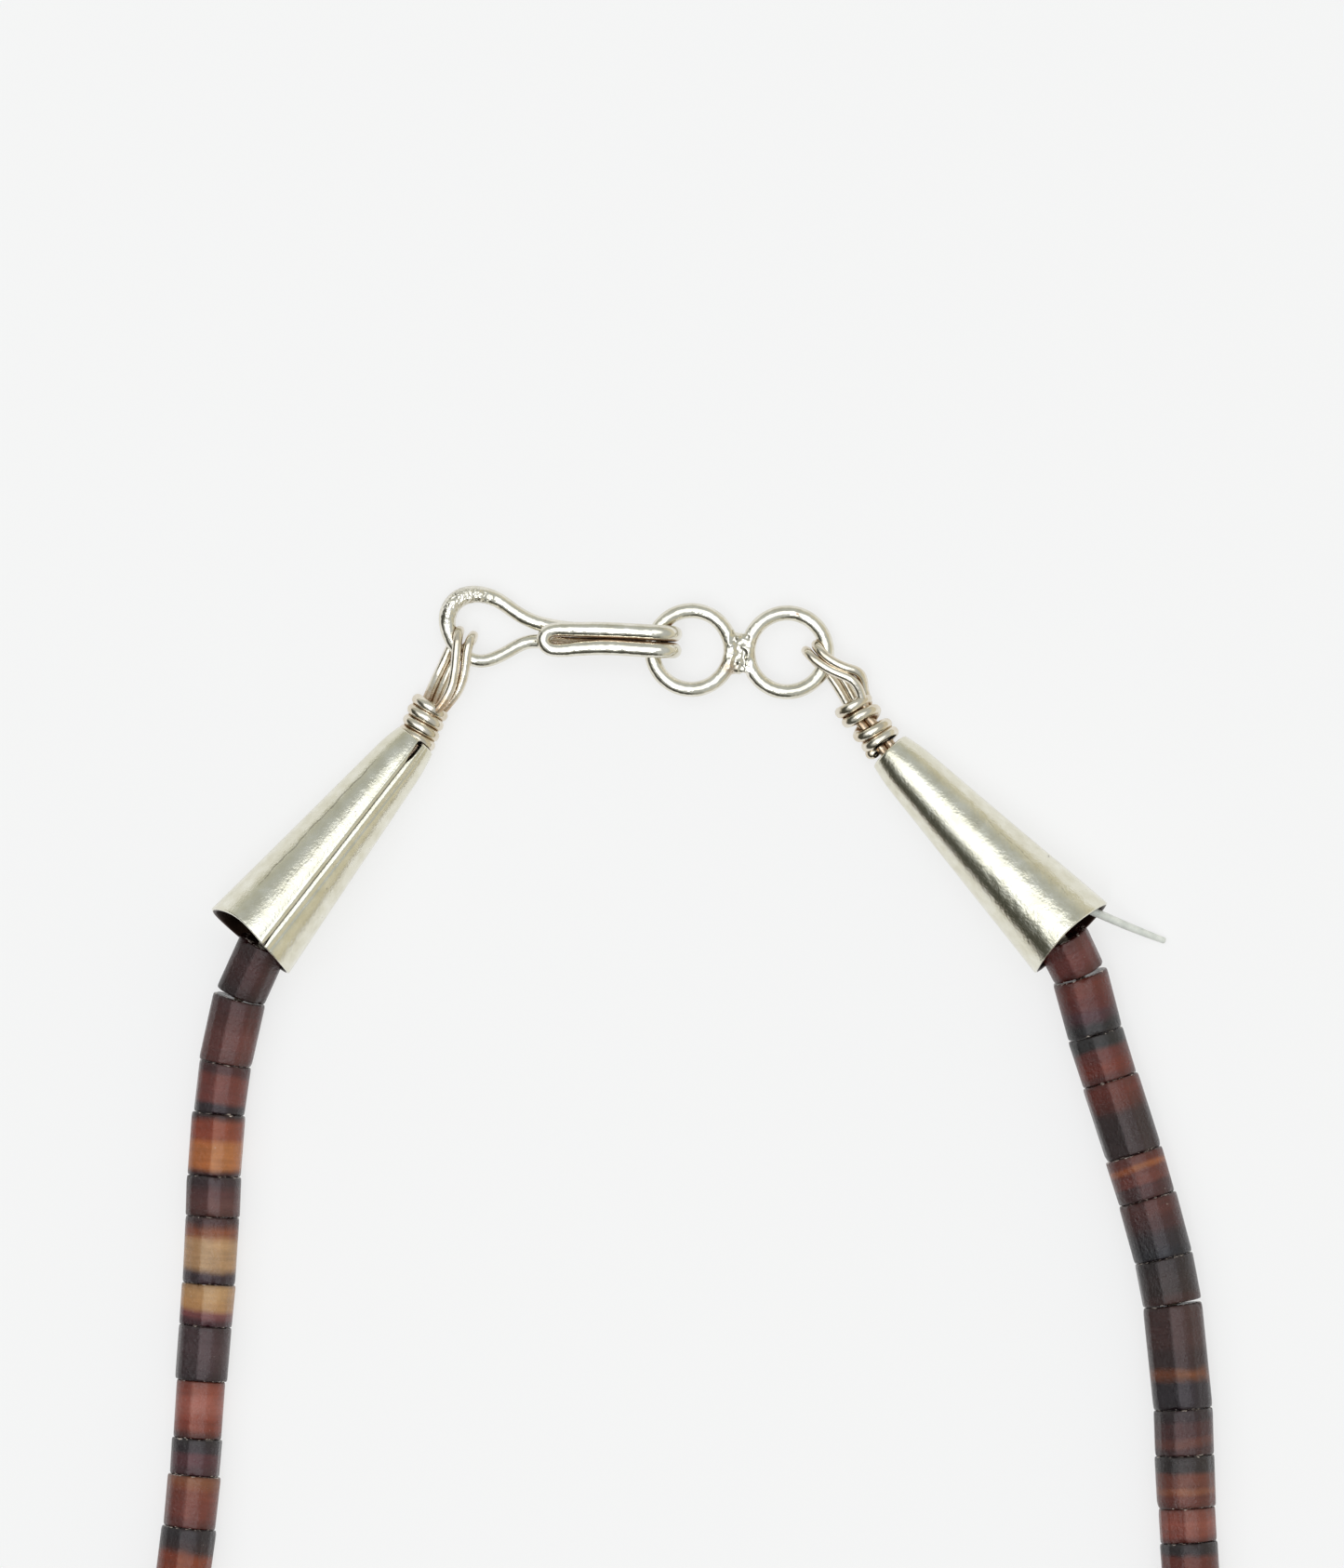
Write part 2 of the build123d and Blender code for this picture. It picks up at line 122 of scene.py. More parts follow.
room = bpy.data.worlds.new("pale room")
scene.world = room
room.use_nodes = True
sky = room.node_tree
direction = add(sky, "TexCoord", output="Generated")
height = add(sky, "SeparateXYZ", {"Vector": direction}, output="Z")
walls = add(sky, "ValToRGB", {"Fac": height}, stops=room_tones)
for towards, start, full, high, low, colour in room_sides:
    side = add(sky, "VectorMath", {0: direction, 1: towards}, output="Value", operation="DOT_PRODUCT")
    side = add(sky, "MapRange", {"Value": side, "From Min": start, "From Max": full})
    down = add(sky, "MapRange", {"Value": height, "From Min": high, "From Max": low})
    share = add(sky, "Math", {0: side, 1: down}, operation="MULTIPLY")
    walls = add(sky, "MixRGB", {"Fac": share, "Color1": walls, "Color2": linear(colour)})
seen = add(sky, "LightPath", output="Is Camera Ray")
backdrop = add(sky, "MixRGB", {"Fac": seen, "Color1": walls, "Color2": linear("F4F4F4")})
join(sky, sky.nodes["Background"], {"Color": backdrop, "Strength": 1.0})

bpy.ops.mesh.primitive_plane_add(size=surface_size, location=(*view_middle, surface_height))
surface = bpy.context.object
surface.name = "surface"
paper, paper_tree = blank_material("matt white paper")
paper_finish = {
    "Base Color": linear("8C8C8C"),
    "Roughness": 1.0,
    "Specular IOR Level": 0.0,
    "Emission Color": linear("FFFFFF"),
    "Emission Strength": surface_glow,
}
join(paper_tree, paper_tree.nodes["Principled BSDF"], paper_finish)
surface.data.materials.append(paper)

# The hook: one closed silver wire, soldered at the top of its eye, with its legs drawn together, folded
# back over the ring and flattened a little there.
ring_middle = np.array([-0.155, 0.18, 1.618])  # of the pair of rings, as the closure is measured
ring_low, ring_high = (np.array(corner) * 1000 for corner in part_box("double_ring"))
closure = (ring_low + ring_high) / 2 - ring_middle  # the point that the closure is measured from
closure[2] = 0
wire_step, wire_sides = 0.09, 28
wire_end = 0.6  # about how far an open wire's rounded end sticks out, in radii
hook_fold, hook_slant, hook_rise = (-6.35, 0.81, 0.6), -2.2, 3.01
fold_height = 1.36  # of the fold's middle above the legs
slit_ends = (-8, 2)
slit_line = (-8, -6.5, -4, 2), (-0.1, 0.02, 0.13, 0.08)  # places along the slit's brown line, and across
slit_reach = (-8, -5.5, 2), (0.36, 0.18, 0.16)  # places along it, and how far the brown reaches
slit_stain = 0.42
eye_solder, eye_solder_size = (-14.3, 2.5), (1.9, 1.7)


def smooth_path(points, step, closed=False):
    """Evenly spaced points, with their radii, on a cubic spline through a few. The bends at the few solve
    one linear system that keeps the slope continuous, with knots a square root of each run apart."""
    few = np.array(points, float)
    if closed:
        few = np.vstack([few, few[:1]])
    count = len(few)
    run = np.sqrt(np.linalg.norm(np.diff(few[:, :3], axis=0), axis=1))
    knot = np.concatenate([[0], np.cumsum(run)])
    slope = np.diff(few, axis=0) / run[:, None]
    system, change = np.zeros((count, count)), np.zeros_like(few)
    inner = np.arange(1, count - 1)
    system[inner, inner - 1] = run[:-1]
    system[inner, inner] = 2 * (run[:-1] + run[1:])
    system[inner, inner + 1] = run[1:]
    change[1:-1] = 6 * (slope[1:] - slope[:-1])
    system[0, 0] = system[-1, -1] = 1
    if closed:
        system[0, [0, 1, -2]] = 2 * (run[0] + run[-1]), run[0], run[-1]
        change[0] = 6 * (slope[0] - slope[-1])
        system[-1, 0] = -1
    bend = np.linalg.solve(system, change)
    samples = 40 * count
    place = np.linspace(0, knot[-1], samples)
    k = np.clip(np.searchsorted(knot, place, side="right") - 1, 0, count - 2)
    gap = run[k][:, None]
    after = (place - knot[k])[:, None]
    before = gap - after
    curve = (bend[k] * before**3 + bend[k + 1] * after**3) / (6 * gap)
    curve += (few[k] / gap - bend[k] * gap / 6) * before + (few[k + 1] / gap - bend[k + 1] * gap / 6) * after
    length = np.concatenate([[0], np.cumsum(np.linalg.norm(np.diff(curve[:, :3], axis=0), axis=1))])
    even = np.linspace(0, length[-1], max(int(length[-1] / step), 4) + 1)
    path = np.stack([np.interp(even, length, column) for column in curve.T], axis=1)
    return path[:-1] if closed else path


def unit(vectors):
    """Vectors over their lengths."""
    return vectors / np.linalg.norm(vectors, axis=-1, keepdims=True)


def turned(slant, rise):
    """Three directions in plan and height: along at a slant, falling at a rise, then across, then up."""
    slant, rise = np.radians((slant, rise))
    across = np.array([-np.sin(slant), np.cos(slant), 0])
    along = np.array([np.cos(slant) * np.cos(rise), np.sin(slant) * np.cos(rise), -np.sin(rise)])
    return np.array([along, across, np.cross(along, across)])


def sheet_faces(rows, columns, rows_close=False, columns_close=False):
    """Quads between neighbours in a grid of rows and columns, either of which may close on itself."""
    row = np.arange(rows if rows_close else rows - 1)[:, None]
    column = np.arange(columns if columns_close else columns - 1)[None, :]
    next_row, next_column = (row + 1) % rows, (column + 1) % columns
    corners = (row, column), (next_row, column), (next_row, next_column), (row, next_column)
    return np.stack([r * columns + c for r, c in corners], axis=-1).reshape(-1, 4)


def end_fans(rows, columns):
    """Triangles from a grid's first and last rows to the two points that follow the grid's own."""
    first = np.arange(columns)
    last = first + (rows - 1) * columns
    at_first = np.stack([np.roll(first, -1), first, np.full(columns, rows * columns)], axis=1)
    at_last = np.stack([last, np.roll(last, -1), np.full(columns, rows * columns + 1)], axis=1)
    return np.vstack([at_first, at_last])


def round_wire(path, guide, sides, closed=False):
    """A wire along a path: each point plus its radius times a circle square to the path, which starts from
    the cross product of the path's direction and a guide. An open one has rounded ends closed by fans."""
    at, radius = path[:, :3], path[:, 3]
    along = np.roll(at, -1, axis=0) - np.roll(at, 1, axis=0) if closed else np.gradient(at, axis=0)
    along = unit(along)
    if not closed:
        shrunk = np.array([[0.9], [0.55], [0.2]])
        reach = wire_end * np.sqrt(1 - shrunk**2)
        first, last = (radius[k] * reach * along[k] for k in (0, -1))
        at = np.vstack([(at[0] - first)[::-1], at, at[-1] + last])
        radius = np.concatenate([(radius[0] * shrunk)[::-1, 0], radius, (radius[-1] * shrunk)[:, 0]])
        along = np.vstack([along[[0] * 3], along, along[[-1] * 3]])
        if np.ndim(guide) == 2:
            guide = np.vstack([guide[[0] * 3], guide, guide[[-1] * 3]])
    across = unit(np.cross(along, guide))
    up = np.cross(across, along)
    angle = np.linspace(0, 2 * np.pi, sides, endpoint=False)[None, :, None]
    circle = np.cos(angle) * across[:, None] + np.sin(angle) * up[:, None]
    skin = (at[:, None] + radius[:, None, None] * circle).reshape(-1, 3)
    faces = [sheet_faces(len(at), sides, closed, True)]
    if not closed:
        faces.append(end_fans(len(at), sides))
        skin = np.vstack([skin, at[:1], at[-1:]])
    return skin, faces


def keep_facts(mesh, facts):
    """Values for each point of a mesh, kept as attributes that its material reads."""
    kinds = {1: ("FLOAT", "value"), 3: ("FLOAT_VECTOR", "vector"), 4: ("FLOAT_COLOR", "color")}
    for fact, values in facts.items():
        kind, field = kinds[values.size // len(mesh.vertices)]
        mesh.attributes.new(fact, kind, "POINT").data.foreach_set(field, values.ravel())


def make_piece(name, shells, material, node, facts=None):
    """One mesh from closed shells of points in closure millimetres and faces, each turned to face outwards
    by the sign of its volume. Facts are values for each point."""
    points, loops, sizes, first = [], [], [], 0
    for skin, faces in shells:
        volume = 0
        for group in faces:
            for k in range(1, group.shape[1] - 1):
                a, b, c = (skin[group[:, column]] for column in (0, k, k + 1))
                volume += np.sum(a * np.cross(b, c))
        for group in faces:
            group = group if volume > 0 else group[:, ::-1]
            loops.append((group + first).ravel())
            sizes.append(np.full(len(group), group.shape[1]))
        points.append(skin)
        first += len(skin)
    points, loops, sizes = (np.concatenate(part) for part in (points, loops, sizes))
    mesh = bpy.data.meshes.new(name)
    mesh.vertices.add(len(points))
    mesh.vertices.foreach_set("co", ((points + closure) / 1000).ravel())
    mesh.loops.add(len(loops))
    mesh.loops.foreach_set("vertex_index", loops)
    mesh.polygons.add(len(sizes))
    mesh.polygons.foreach_set("loop_start", np.concatenate([[0], np.cumsum(sizes)[:-1]]))
    mesh.polygons.foreach_set("loop_total", sizes)
    mesh.update(calc_edges=True)
    mesh.polygons.foreach_set("use_smooth", np.ones(len(sizes), bool))
    keep_facts(mesh, facts or {})
    piece = bpy.data.objects.new(name, mesh)
    scene.collection.objects.link(piece)
    mesh.materials.append(material)
    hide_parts(node)
    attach(piece, "root")
    return piece


def in_millimetres(tree):
    """Object coordinates in millimetres."""
    place = add(tree, "TexCoord", output="Object")
    return add(tree, "Mapping", {"Vector": place, "Scale": (1000, 1000, 1000)})


def silver(name, tints, stain_and_shade_colour, polish, scratch, dent, grime):
    """Sterling silver: a pale, warm metal, dulled in patches, with fine scratches and soft dents of the given
    depths, coarse grains where it is solder, a brown tarnish where surfaces meet, and painted shade and
    painted reflections where a piece's points ask for them, all marks in the stain's colour. Depths and the
    reach of the grime are millimetres."""
    material, tree = blank_material(name)
    mm = in_millimetres(tree)
    layers = {  # spots in each millimetre, and how finely they break up
        "patches": (0.8, 4),
        "grit": (6, 4),
        "specks": (1.9, 3),
        "grains": (2.2, 2),
        "dents": (0.9, 2),
        "scratches": (5, 5),
    }
    noise = {
        layer: add(tree, "TexNoise", {"Vector": mm, "Scale": scale, "Detail": detail, "Roughness": 0.6})
        for layer, (scale, detail) in layers.items()
    }
    stain_shade_and_reflection = add(tree, "Attribute", output="Fac", attribute_name="stain_shade_and_reflection")
    solder = add(tree, "Attribute", output="Fac", attribute_name="solder")

    open_air = add(tree, "AmbientOcclusion", {"Distance": grime / 1000}, output="AO", samples=8)
    met = add(tree, "Math", {0: noise["grit"], 1: 0.45, 2: open_air}, operation="MULTIPLY_ADD")
    met = add(tree, "MapRange", {"Value": met, "From Min": 0.8, "From Max": 0.4})
    # Marks that points carry: tarnish, and on the cones painted shade inside and painted reflections as thin
    # dark lines.
    stain_shade_and_reflection = add(tree, "Math", {0: noise["grit"], 1: 0.6, 2: stain_shade_and_reflection}, operation="MULTIPLY_ADD")
    stain_shade_and_reflection = add(tree, "MapRange", {"Value": stain_shade_and_reflection, "From Min": 0.45, "From Max": 0.95})
    sparse = {"Value": noise["specks"], "From Min": 0.7, "From Max": 0.76, "To Max": 0.7}
    speck = add(tree, "MapRange", sparse)
    marked = add(tree, "Math", {0: stain_shade_and_reflection, 1: speck}, operation="MAXIMUM")
    tarnish_shade_and_reflection = add(tree, "Math", {0: met, 1: marked}, operation="MAXIMUM")
    tint = add(tree, "ValToRGB", {"Fac": noise["patches"]}, stops=list(zip((0.32, 0.5, 0.7), tints)))
    colour = add(tree, "MixRGB", {"Fac": tarnish_shade_and_reflection, "Color1": tint, "Color2": linear(stain_and_shade_colour)})

    rubbed = {"From Min": 0.3, "From Max": 0.7, "To Min": polish[0], "To Max": polish[1]}
    dull = add(tree, "MapRange", {"Value": noise["patches"], **rubbed})
    rough = add(tree, "Math", {0: tarnish_shade_and_reflection, 1: 0.3, 2: dull}, operation="MULTIPLY_ADD")
    grains = add(tree, "Math", {0: noise["grains"], 1: solder}, operation="MULTIPLY")
    height, grain = 0.0, 0.25
    for layer, depth in ((grains, grain), (noise["dents"], dent), (noise["scratches"], scratch)):
        height = add(tree, "Math", {0: layer, 1: depth, 2: height}, operation="MULTIPLY_ADD")
    relief = add(tree, "Bump", {"Height": height, "Distance": 0.001})
    finish = {"Base Color": colour, "Metallic": 1.0, "Roughness": rough, "Normal": relief}
    join(tree, tree.nodes["Principled BSDF"], finish)
    return material


drawn_wire = silver(
    "drawn sterling silver wire",
    tints=("D8D3C3", "E3DFD1", "EEEADF"),
    stain_and_shade_colour="A47E5A",
    polish=(0.08, 0.18),
    scratch=0.01,
    dent=0.08,
    grime=0.45,
)

hook_route = [  # along from the fold, across and up from the legs, and the wire's radius
    (0, 0.68, 0, 0.575),
    (-2.2, 0.7, 0, 0.575),
    (-4.4, 0.71, 0, 0.575),
    (-6.6, 0.77, 0, 0.575),
    (-8.1, 0.96, 0, 0.56),
    (-9.3, 1.28, 0, 0.55),
    (-10.5, 1.88, 0, 0.55),
    (-11.7, 2.64, 0, 0.57),
    (-12.6, 2.98, 0, 0.6),
    (-13.5, 3.07, 0, 0.64),
    (-14.5, 2.82, 0, 0.67),
    (-15.2, 2.16, 0, 0.67),
    (-15.5, 1.2, 0, 0.64),
    (-15.28, 0.05, 0, 0.58),
    (-14.7, -1.0, 0, 0.52),
    (-13.9, -1.62, 0, 0.5),
    (-12.95, -1.85, 0, 0.49),
    (-11.8, -1.56, 0, 0.5),
    (-10.65, -0.9, 0, 0.5),
    (-9.6, -0.36, 0, 0.51),
    (-8.4, -0.24, 0, 0.53),
    (-7, -0.35, 0, 0.55),
    (-4.5, -0.42, 0, 0.57),
    (-2.2, -0.43, 0, 0.575),
    (0, -0.44, 0, 0.575),
    (0.95, -0.48, 0.42, 0.575),
    (1.3, -0.54, 1.35, 0.58),
    (0.92, -0.55, 2.25, 0.59),
    (0, -0.56, 2.58, 0.6),
    (-2.2, -0.5, 2.36, 0.6),
    (-4.2, -0.5, 2.13, 0.6),
    (-6.0, -0.68, 1.92, 0.57),
    (-7.4, -0.83, 1.75, 0.53),
    (-8.1, -0.63, 1.68, 0.53),
    (-8.38, -0.1, 1.65, 0.53),
    (-8.1, 0.43, 1.68, 0.53),
    (-7.4, 0.66, 1.75, 0.53),
    (-6.0, 0.72, 1.92, 0.57),
    (-4.2, 0.76, 2.13, 0.6),
    (-2.2, 0.75, 2.36, 0.6),
    (0, 0.71, 2.58, 0.6),
    (0.92, 0.7, 2.25, 0.59),
    (1.3, 0.69, 1.35, 0.58),
    (0.95, 0.68, 0.42, 0.575),
]
hook_path = smooth_path(hook_route, wire_step, closed=True)
along, _, up, _ = hook_path.T
fold_guide = unit(np.stack([np.maximum(along, 0), 0 * along, up - fold_height], axis=1))
hook_skin, hook_faces = round_wire(hook_path, fold_guide, wire_sides, closed=True)
along, across, _ = hook_skin.T
to_slit = np.abs(across - np.interp(along, *slit_line)) / np.interp(along, *slit_reach)
in_slit = np.clip((along - slit_ends[0]) / 0.4, 0, 1) * (along < slit_ends[1])
to_solder = np.linalg.norm((hook_skin[:, :2] - eye_solder) / eye_solder_size, axis=1)
hook_facts = {
    "stain_shade_and_reflection": np.clip(1.4 - to_slit, 0, slit_stain) * in_slit,
    "solder": np.clip(2 - 1.6 * to_solder, 0, 1),
}
hook_skin = hook_skin.dot(turned(hook_slant, hook_rise)) + hook_fold
make_piece("silver_hook", [(hook_skin, hook_faces)], drawn_wire, "hook", hook_facts)

# The pair of rings: two closed rings of the same wire, joined by a rough lump of solder between them. The
# hook's fold holds the left one and the right wire loop goes through the other.
ring_slant, ring_rise = -1.4, 2.375
ring_radius, ring_wire, ring_apart, ring_steps = 2.915, 0.57, 3.55, 144
solder_low, solder_middle, solder_high = -1.72, -0.2, 1.4
solder_half, solder_swell, solder_ridge = 0.46, 0.1, 0.07
solder_sink, sink_from, cap_sink = 0.16, 1.2, 0.06  # how its ends sink in, from what height, and their caps
solder_waves = [  # radians in each millimetre, three ways, and the phase
    ((3.1, 2.2, 0.7), 1),
    ((-2.7, 3.1, 1.9), 2),
    ((5.3, -1.2, 3), 4),
    ((1.2, 5.4, 2), 0.4),
]
brown_spot, brown_spread, brown_stain, solder_grain = (-0.8, -1.1), 0.5, 0.4, 0.13


def ring_shell(centre):
    """A ring: a circle of wire carried round a circle about a centre on the pair's line."""
    angle = np.linspace(0, 2 * np.pi, ring_steps, endpoint=False)
    circle = centre + ring_radius * np.cos(angle), ring_radius * np.sin(angle), 0 * angle
    path = np.stack([*circle, np.full(ring_steps, ring_wire)], axis=1)
    return round_wire(path, (0, 0, 1), wire_sides, closed=True)


def solder_shell():
    """The solder: an upright run of flat ovals between the rings, closed by fans at its lower and upper end.
    Each one reaches into both wires, is thickest at them and thins to its middle, and all shrink and sink
    in towards the two ends."""
    rows, columns = 36, 48
    height = np.linspace(solder_low, solder_high, rows)[:, None]
    angle = np.linspace(0, 2 * np.pi, columns, endpoint=False)[None, :]
    waist = ring_apart - np.sqrt(ring_radius**2 - height**2)
    full = 1 - np.clip(np.abs(height - solder_middle) / 1.6, 0, 1) ** 8
    flat = np.sign(np.sin(angle)) * np.abs(np.sin(angle)) ** 0.7
    x = waist * np.cos(angle) * (0.6 + 0.4 * full)
    sunk = solder_sink * np.sign(height) * (1 - np.abs(np.cos(angle)))
    y = height - sunk * (np.abs(height) > sink_from)
    z = (solder_half + solder_swell * np.cos(angle) ** 2) * flat * (0.5 + 0.5 * full)
    skin = np.stack(np.broadcast_arrays(x, y, z), axis=-1).reshape(-1, 3)
    ends = [[0, solder_low + cap_sink, 0], [0, solder_high - cap_sink, 0]]
    return np.vstack([skin, ends]), [sheet_faces(rows, columns, False, True), end_fans(rows, columns)]


def melt_together(piece, voxel, rounds):
    """Joins a piece's shells by remeshing it at a voxel's size in millimetres and smoothing it."""
    remesh = piece.modifiers.new("melted", "REMESH")
    remesh.mode, remesh.voxel_size, remesh.use_smooth_shade = "VOXEL", voxel / 1000, True
    eased = piece.modifiers.new("eased", "SMOOTH")
    eased.factor, eased.iterations = 0.5, rounds
    graph = bpy.context.evaluated_depsgraph_get()
    melted = bpy.data.meshes.new_from_object(piece.evaluated_get(graph))
    piece.modifiers.clear()
    piece.data = melted
    spots, outwards = np.zeros((2, len(melted.vertices) * 3))
    melted.vertices.foreach_get("co", spots)
    melted.vertices.foreach_get("normal", outwards)
    return spots.reshape(-1, 3) * 1000 - closure, outwards.reshape(-1, 3)


ring_shells = [ring_shell(-ring_apart), ring_shell(ring_apart), solder_shell()]
rings = make_piece("silver_rings", ring_shells, drawn_wire, "double_ring")
ring_skin, outwards = melt_together(rings, voxel=0.055, rounds=8)
to_solder = np.abs(ring_skin[:, 0]) / 0.8 + np.maximum(np.abs(ring_skin[:, 1] - solder_middle) - 1.3, 0)
solder = np.clip(2 - 1.5 * to_solder, 0, 1)
ridges = sum(np.abs(np.sin(ring_skin @ np.array(wave) + phase)) - 0.64 for wave, phase in solder_waves)
ring_skin += (-solder_ridge * ridges * solder)[:, None] * outwards
ring_skin = ring_skin.dot(turned(ring_slant, ring_rise)) + ring_middle
brown = np.exp(-np.sum((ring_skin[:, :2] - brown_spot) ** 2, axis=1) / brown_spread)
rings.data.vertices.foreach_set("co", ((ring_skin + closure) / 1000).ravel())
keep_facts(rings.data, {"solder": solder_grain * solder, "stain_shade_and_reflection": brown_stain * brown})
rings.data.update()

# The wire loops: a thinner silver wire, doubled, goes through the eye or the ring, and its ends are wound
# four times round its own stem and cut off beside the cone.
loop_wire, loop_sides = 0.36, 18
turn_wire = 1.2 * loop_wire
turns_half_width, turns_half_height, stem_height = 1.08, 0.74, 1.46
first_spread, last_spread = 0.8, 0.6  # how far the outer turns run out along the stem, for each whole turn
loop_brown, brown_end = 0.45, 4.8  # how brown the stem is, and where along it the brown ends
left_stem, left_heading = np.array([-24.087, -6.391, 0]), 67.2
right_stem, right_heading = np.array([10.935, -7.173, 0]), 128.9

bound_wire = silver(
    "doubled sterling silver wire",
    tints=("D8CDB8", "E4DCCC", "EEE9DD"),
    stain_and_shade_colour="A88050",
    polish=(0.09, 0.2),
    scratch=0.008,
    dent=0.05,
    grime=0.7,
)

left_strands = [  # along the stem from the cone's end, across it to the left, and up
    (2.2, -0.35, 2.0),
    (3.0, -0.7, 2.3),
    (3.9, -0.88, 2.36),
    (4.8, -0.88, 2.4),
    (6.07, -0.6, 2.42),
    (7.46, -0.16, 2.4),
    (8.35, 0.1, 2.1),
    (8.72, 0.16, 1.36),
    (8.35, 0.2, 0.62),
    (7.5, 0.3, 0.42),
    (6.5, 0.34, 0.42),
    (4.9, 0.4, 0.5),
    (3.36, 0.42, 1.1),
    (1.8, 0.36, 1.44),
    (0.2, 0.35, 1.46),
    (-2.0, 0.85, 1.7),
    (-3.6, 1.75, 2.0),
    (-4.65, 1.95, 2.02),
    (-4.85, 1.38, 2.02),
    (-4.4, 0.6, 2.02),
    (-3.3, 0.25, 2.0),
    (-1.9, 0.15, 1.7),
    (0.1, -0.35, 1.46),
    (1.8, -0.36, 1.44),
    (3.28, -0.24, 1.0),
    (4.9, -0.27, 0.5),
    (6.1, -0.33, 0.42),
    (7.4, -0.62, 0.42),
    (8.4, -0.92, 0.62),
    (8.78, -0.92, 1.36),
    (8.4, -0.88, 2.1),
    (7.77, -0.92, 2.36),
    (6.63, -1.22, 2.3),
    (5.61, -1.45, 2.15),
    (4.6, -1.47, 1.95),
    (3.7, -1.25, 1.7),
    (2.6, -0.9, 1.35),
]
right_strands = [
    (3.4, -0.5, 1.75),
    (4.2, -0.82, 2.0),
    (5.0, -1.1, 2.25),
    (5.75, -1.12, 2.4),
    (6.5, -0.8, 2.42),
    (7.42, -0.32, 2.4),
    (8.23, -0.03, 2.4),
    (9.07, 0.14, 2.2),
    (9.62, 0.15, 1.36),
    (9.1, 0.1, 0.6),
    (8.2, 0.04, 0.42),
    (6.9, -0.08, 0.42),
    (5.1, 0.14, 0.75),
    (3.4, 0.36, 1.3),
    (1.6, 0.36, 1.44),
    (0.2, 0.35, 1.46),
    (-2.0, 0.55, 1.7),
    (-3.8, 1.15, 2.0),
    (-4.85, 1.2, 2.02),
    (-5.0, 0.5, 2.02),
    (-4.5, -0.3, 2.02),
    (-3.4, -0.42, 2.0),
    (-1.9, -0.2, 1.7),
    (0.2, -0.35, 1.46),
    (1.6, -0.36, 1.44),
    (3.2, -0.3, 1.3),
    (4.7, -0.42, 0.8),
    (6.2, -0.7, 0.44),
    (7.8, -0.66, 0.42),
    (9.0, -0.72, 0.6),
    (9.5, -0.72, 1.36),
    (9.0, -0.64, 2.15),
    (8.2, -0.74, 2.42),
    (7.49, -0.98, 2.46),
    (6.7, -1.4, 2.44),
    (6.05, -1.8, 2.3),
    (5.4, -1.8, 1.95),
    (4.7, -1.4, 1.6),
    (3.7, -0.95, 1.3),
]
# Each turn's place along the stem, and how far it leans along it from one side to the other.
left_turns = [(2.62, 0.0), (1.82, 0.02), (0.98, 0.08), (0.15, 0.12)]
right_turns = [(4.25, 0.8), (3.35, 0.58), (1.86, 0.28), (1.05, 0.26)]
left_cut_end, right_cut_end = (-0.2, 0.9, 1.3), (0.7, 1.2, 1.3)


def wound_turns(turns, cut_end):
    """The wire's turns at each quarter: ovals round the stem, carried along it from turn to turn. Each leans
    its own way on top, the first and the last spread out a little, and the cut end follows."""
    places, leans = np.transpose(turns)
    count = len(turns)
    quarter = np.arange(4 * count + 1) / 4
    on_top = np.arange(count) + 0.25
    along = np.interp(quarter, on_top, places)
    along += (0.25 - np.minimum(quarter, 0.25)) * first_spread
    along -= np.maximum(quarter - count + 0.75, 0) * last_spread
    sideways, upwards = np.cos(2 * np.pi * quarter), np.sin(2 * np.pi * quarter)
    along += np.interp(quarter, on_top, leans) * sideways * upwards.clip(0, 1)
    oval = turns_half_width * sideways, stem_height + turns_half_height * upwards
    path = np.vstack([np.stack([along, *oval], axis=1), cut_end])
    return np.hstack([path, np.full((len(path), 1), turn_wire)])


def wire_loop(side, strands, turns, cut_end, stem, heading):
    """The doubled wire and its turns as two shells, turned to the stem's heading. The doubled wire is
    stained brown up to a place on its stem, where the polish doesn't reach it."""
    directions = turned(heading, 0)
    doubled = smooth_path(np.hstack([strands, np.full((len(strands), 1), loop_wire)]), wire_step)
    turn = np.clip(-doubled[:, 0] / 1.5, 0, 1) * np.pi / 2
    guide = np.stack([0 * turn, np.cos(turn), np.sin(turn)], axis=1)
    wound = smooth_path(wound_turns(turns, cut_end), wire_step)
    shells, stain_shade_and_reflection = [], []
    for path, sense, brown in ((doubled, guide, loop_brown), (wound, np.array([1.0, 0, 0]), 0.0)):
        path = np.hstack([path[:, :3].dot(directions) + stem, path[:, 3:]])
        skin, faces = round_wire(path, sense.dot(directions), loop_sides)
        place = (skin - stem).dot(directions[0])
        stain_shade_and_reflection.append(brown * np.clip((brown_end - place) / 1.5, 0, 1))
        shells.append((skin, faces))
    facts = {"stain_shade_and_reflection": np.concatenate(stain_shade_and_reflection)}
    make_piece(f"silver_{side}_wire_loop", shells, bound_wire, f"{side}_wire_loop", facts)


wire_loop("left", left_strands, left_turns, left_cut_end, left_stem, left_heading)
wire_loop("right", right_strands, right_turns, right_cut_end, right_stem, right_heading)

# The cone ends: silver sheet rolled into a cone, its edges butted and soldered along a seam that stays
# open at the two ends.
cone_length, cone_narrow, cone_wide, cone_wall, cone_rim = 19.4, 1.825, 3.75, 0.4, 0.12
cone_growth = (cone_wide - cone_narrow) / cone_length
cone_rise = np.degrees(np.arctan2(cone_wide - cone_narrow, cone_length))
cone_steps = 240
drawn_in, drawn_length = 0.2, 2.4  # how far, and over what length, the narrow end is drawn in
gap_places, gap_halves = (0, 1.3, 2.0, cone_length - 1.2, cone_length), (0.24, 0.18, 0.02, 0.02, 0.13)
seam_ridge, seam_groove, seam_stain = 0.035, 0.05, 0.35
rolling_waves, rolling_wave, dent_depth = 9, 0.009, 0.012
sheet_sunk = 0.03  # the sheet's mean depth below the cone's full size, which leaves room for the waves
cut_reach, cut_width = 3, 0.8  # of the cut at the mouth, along the cone, and round it in radians
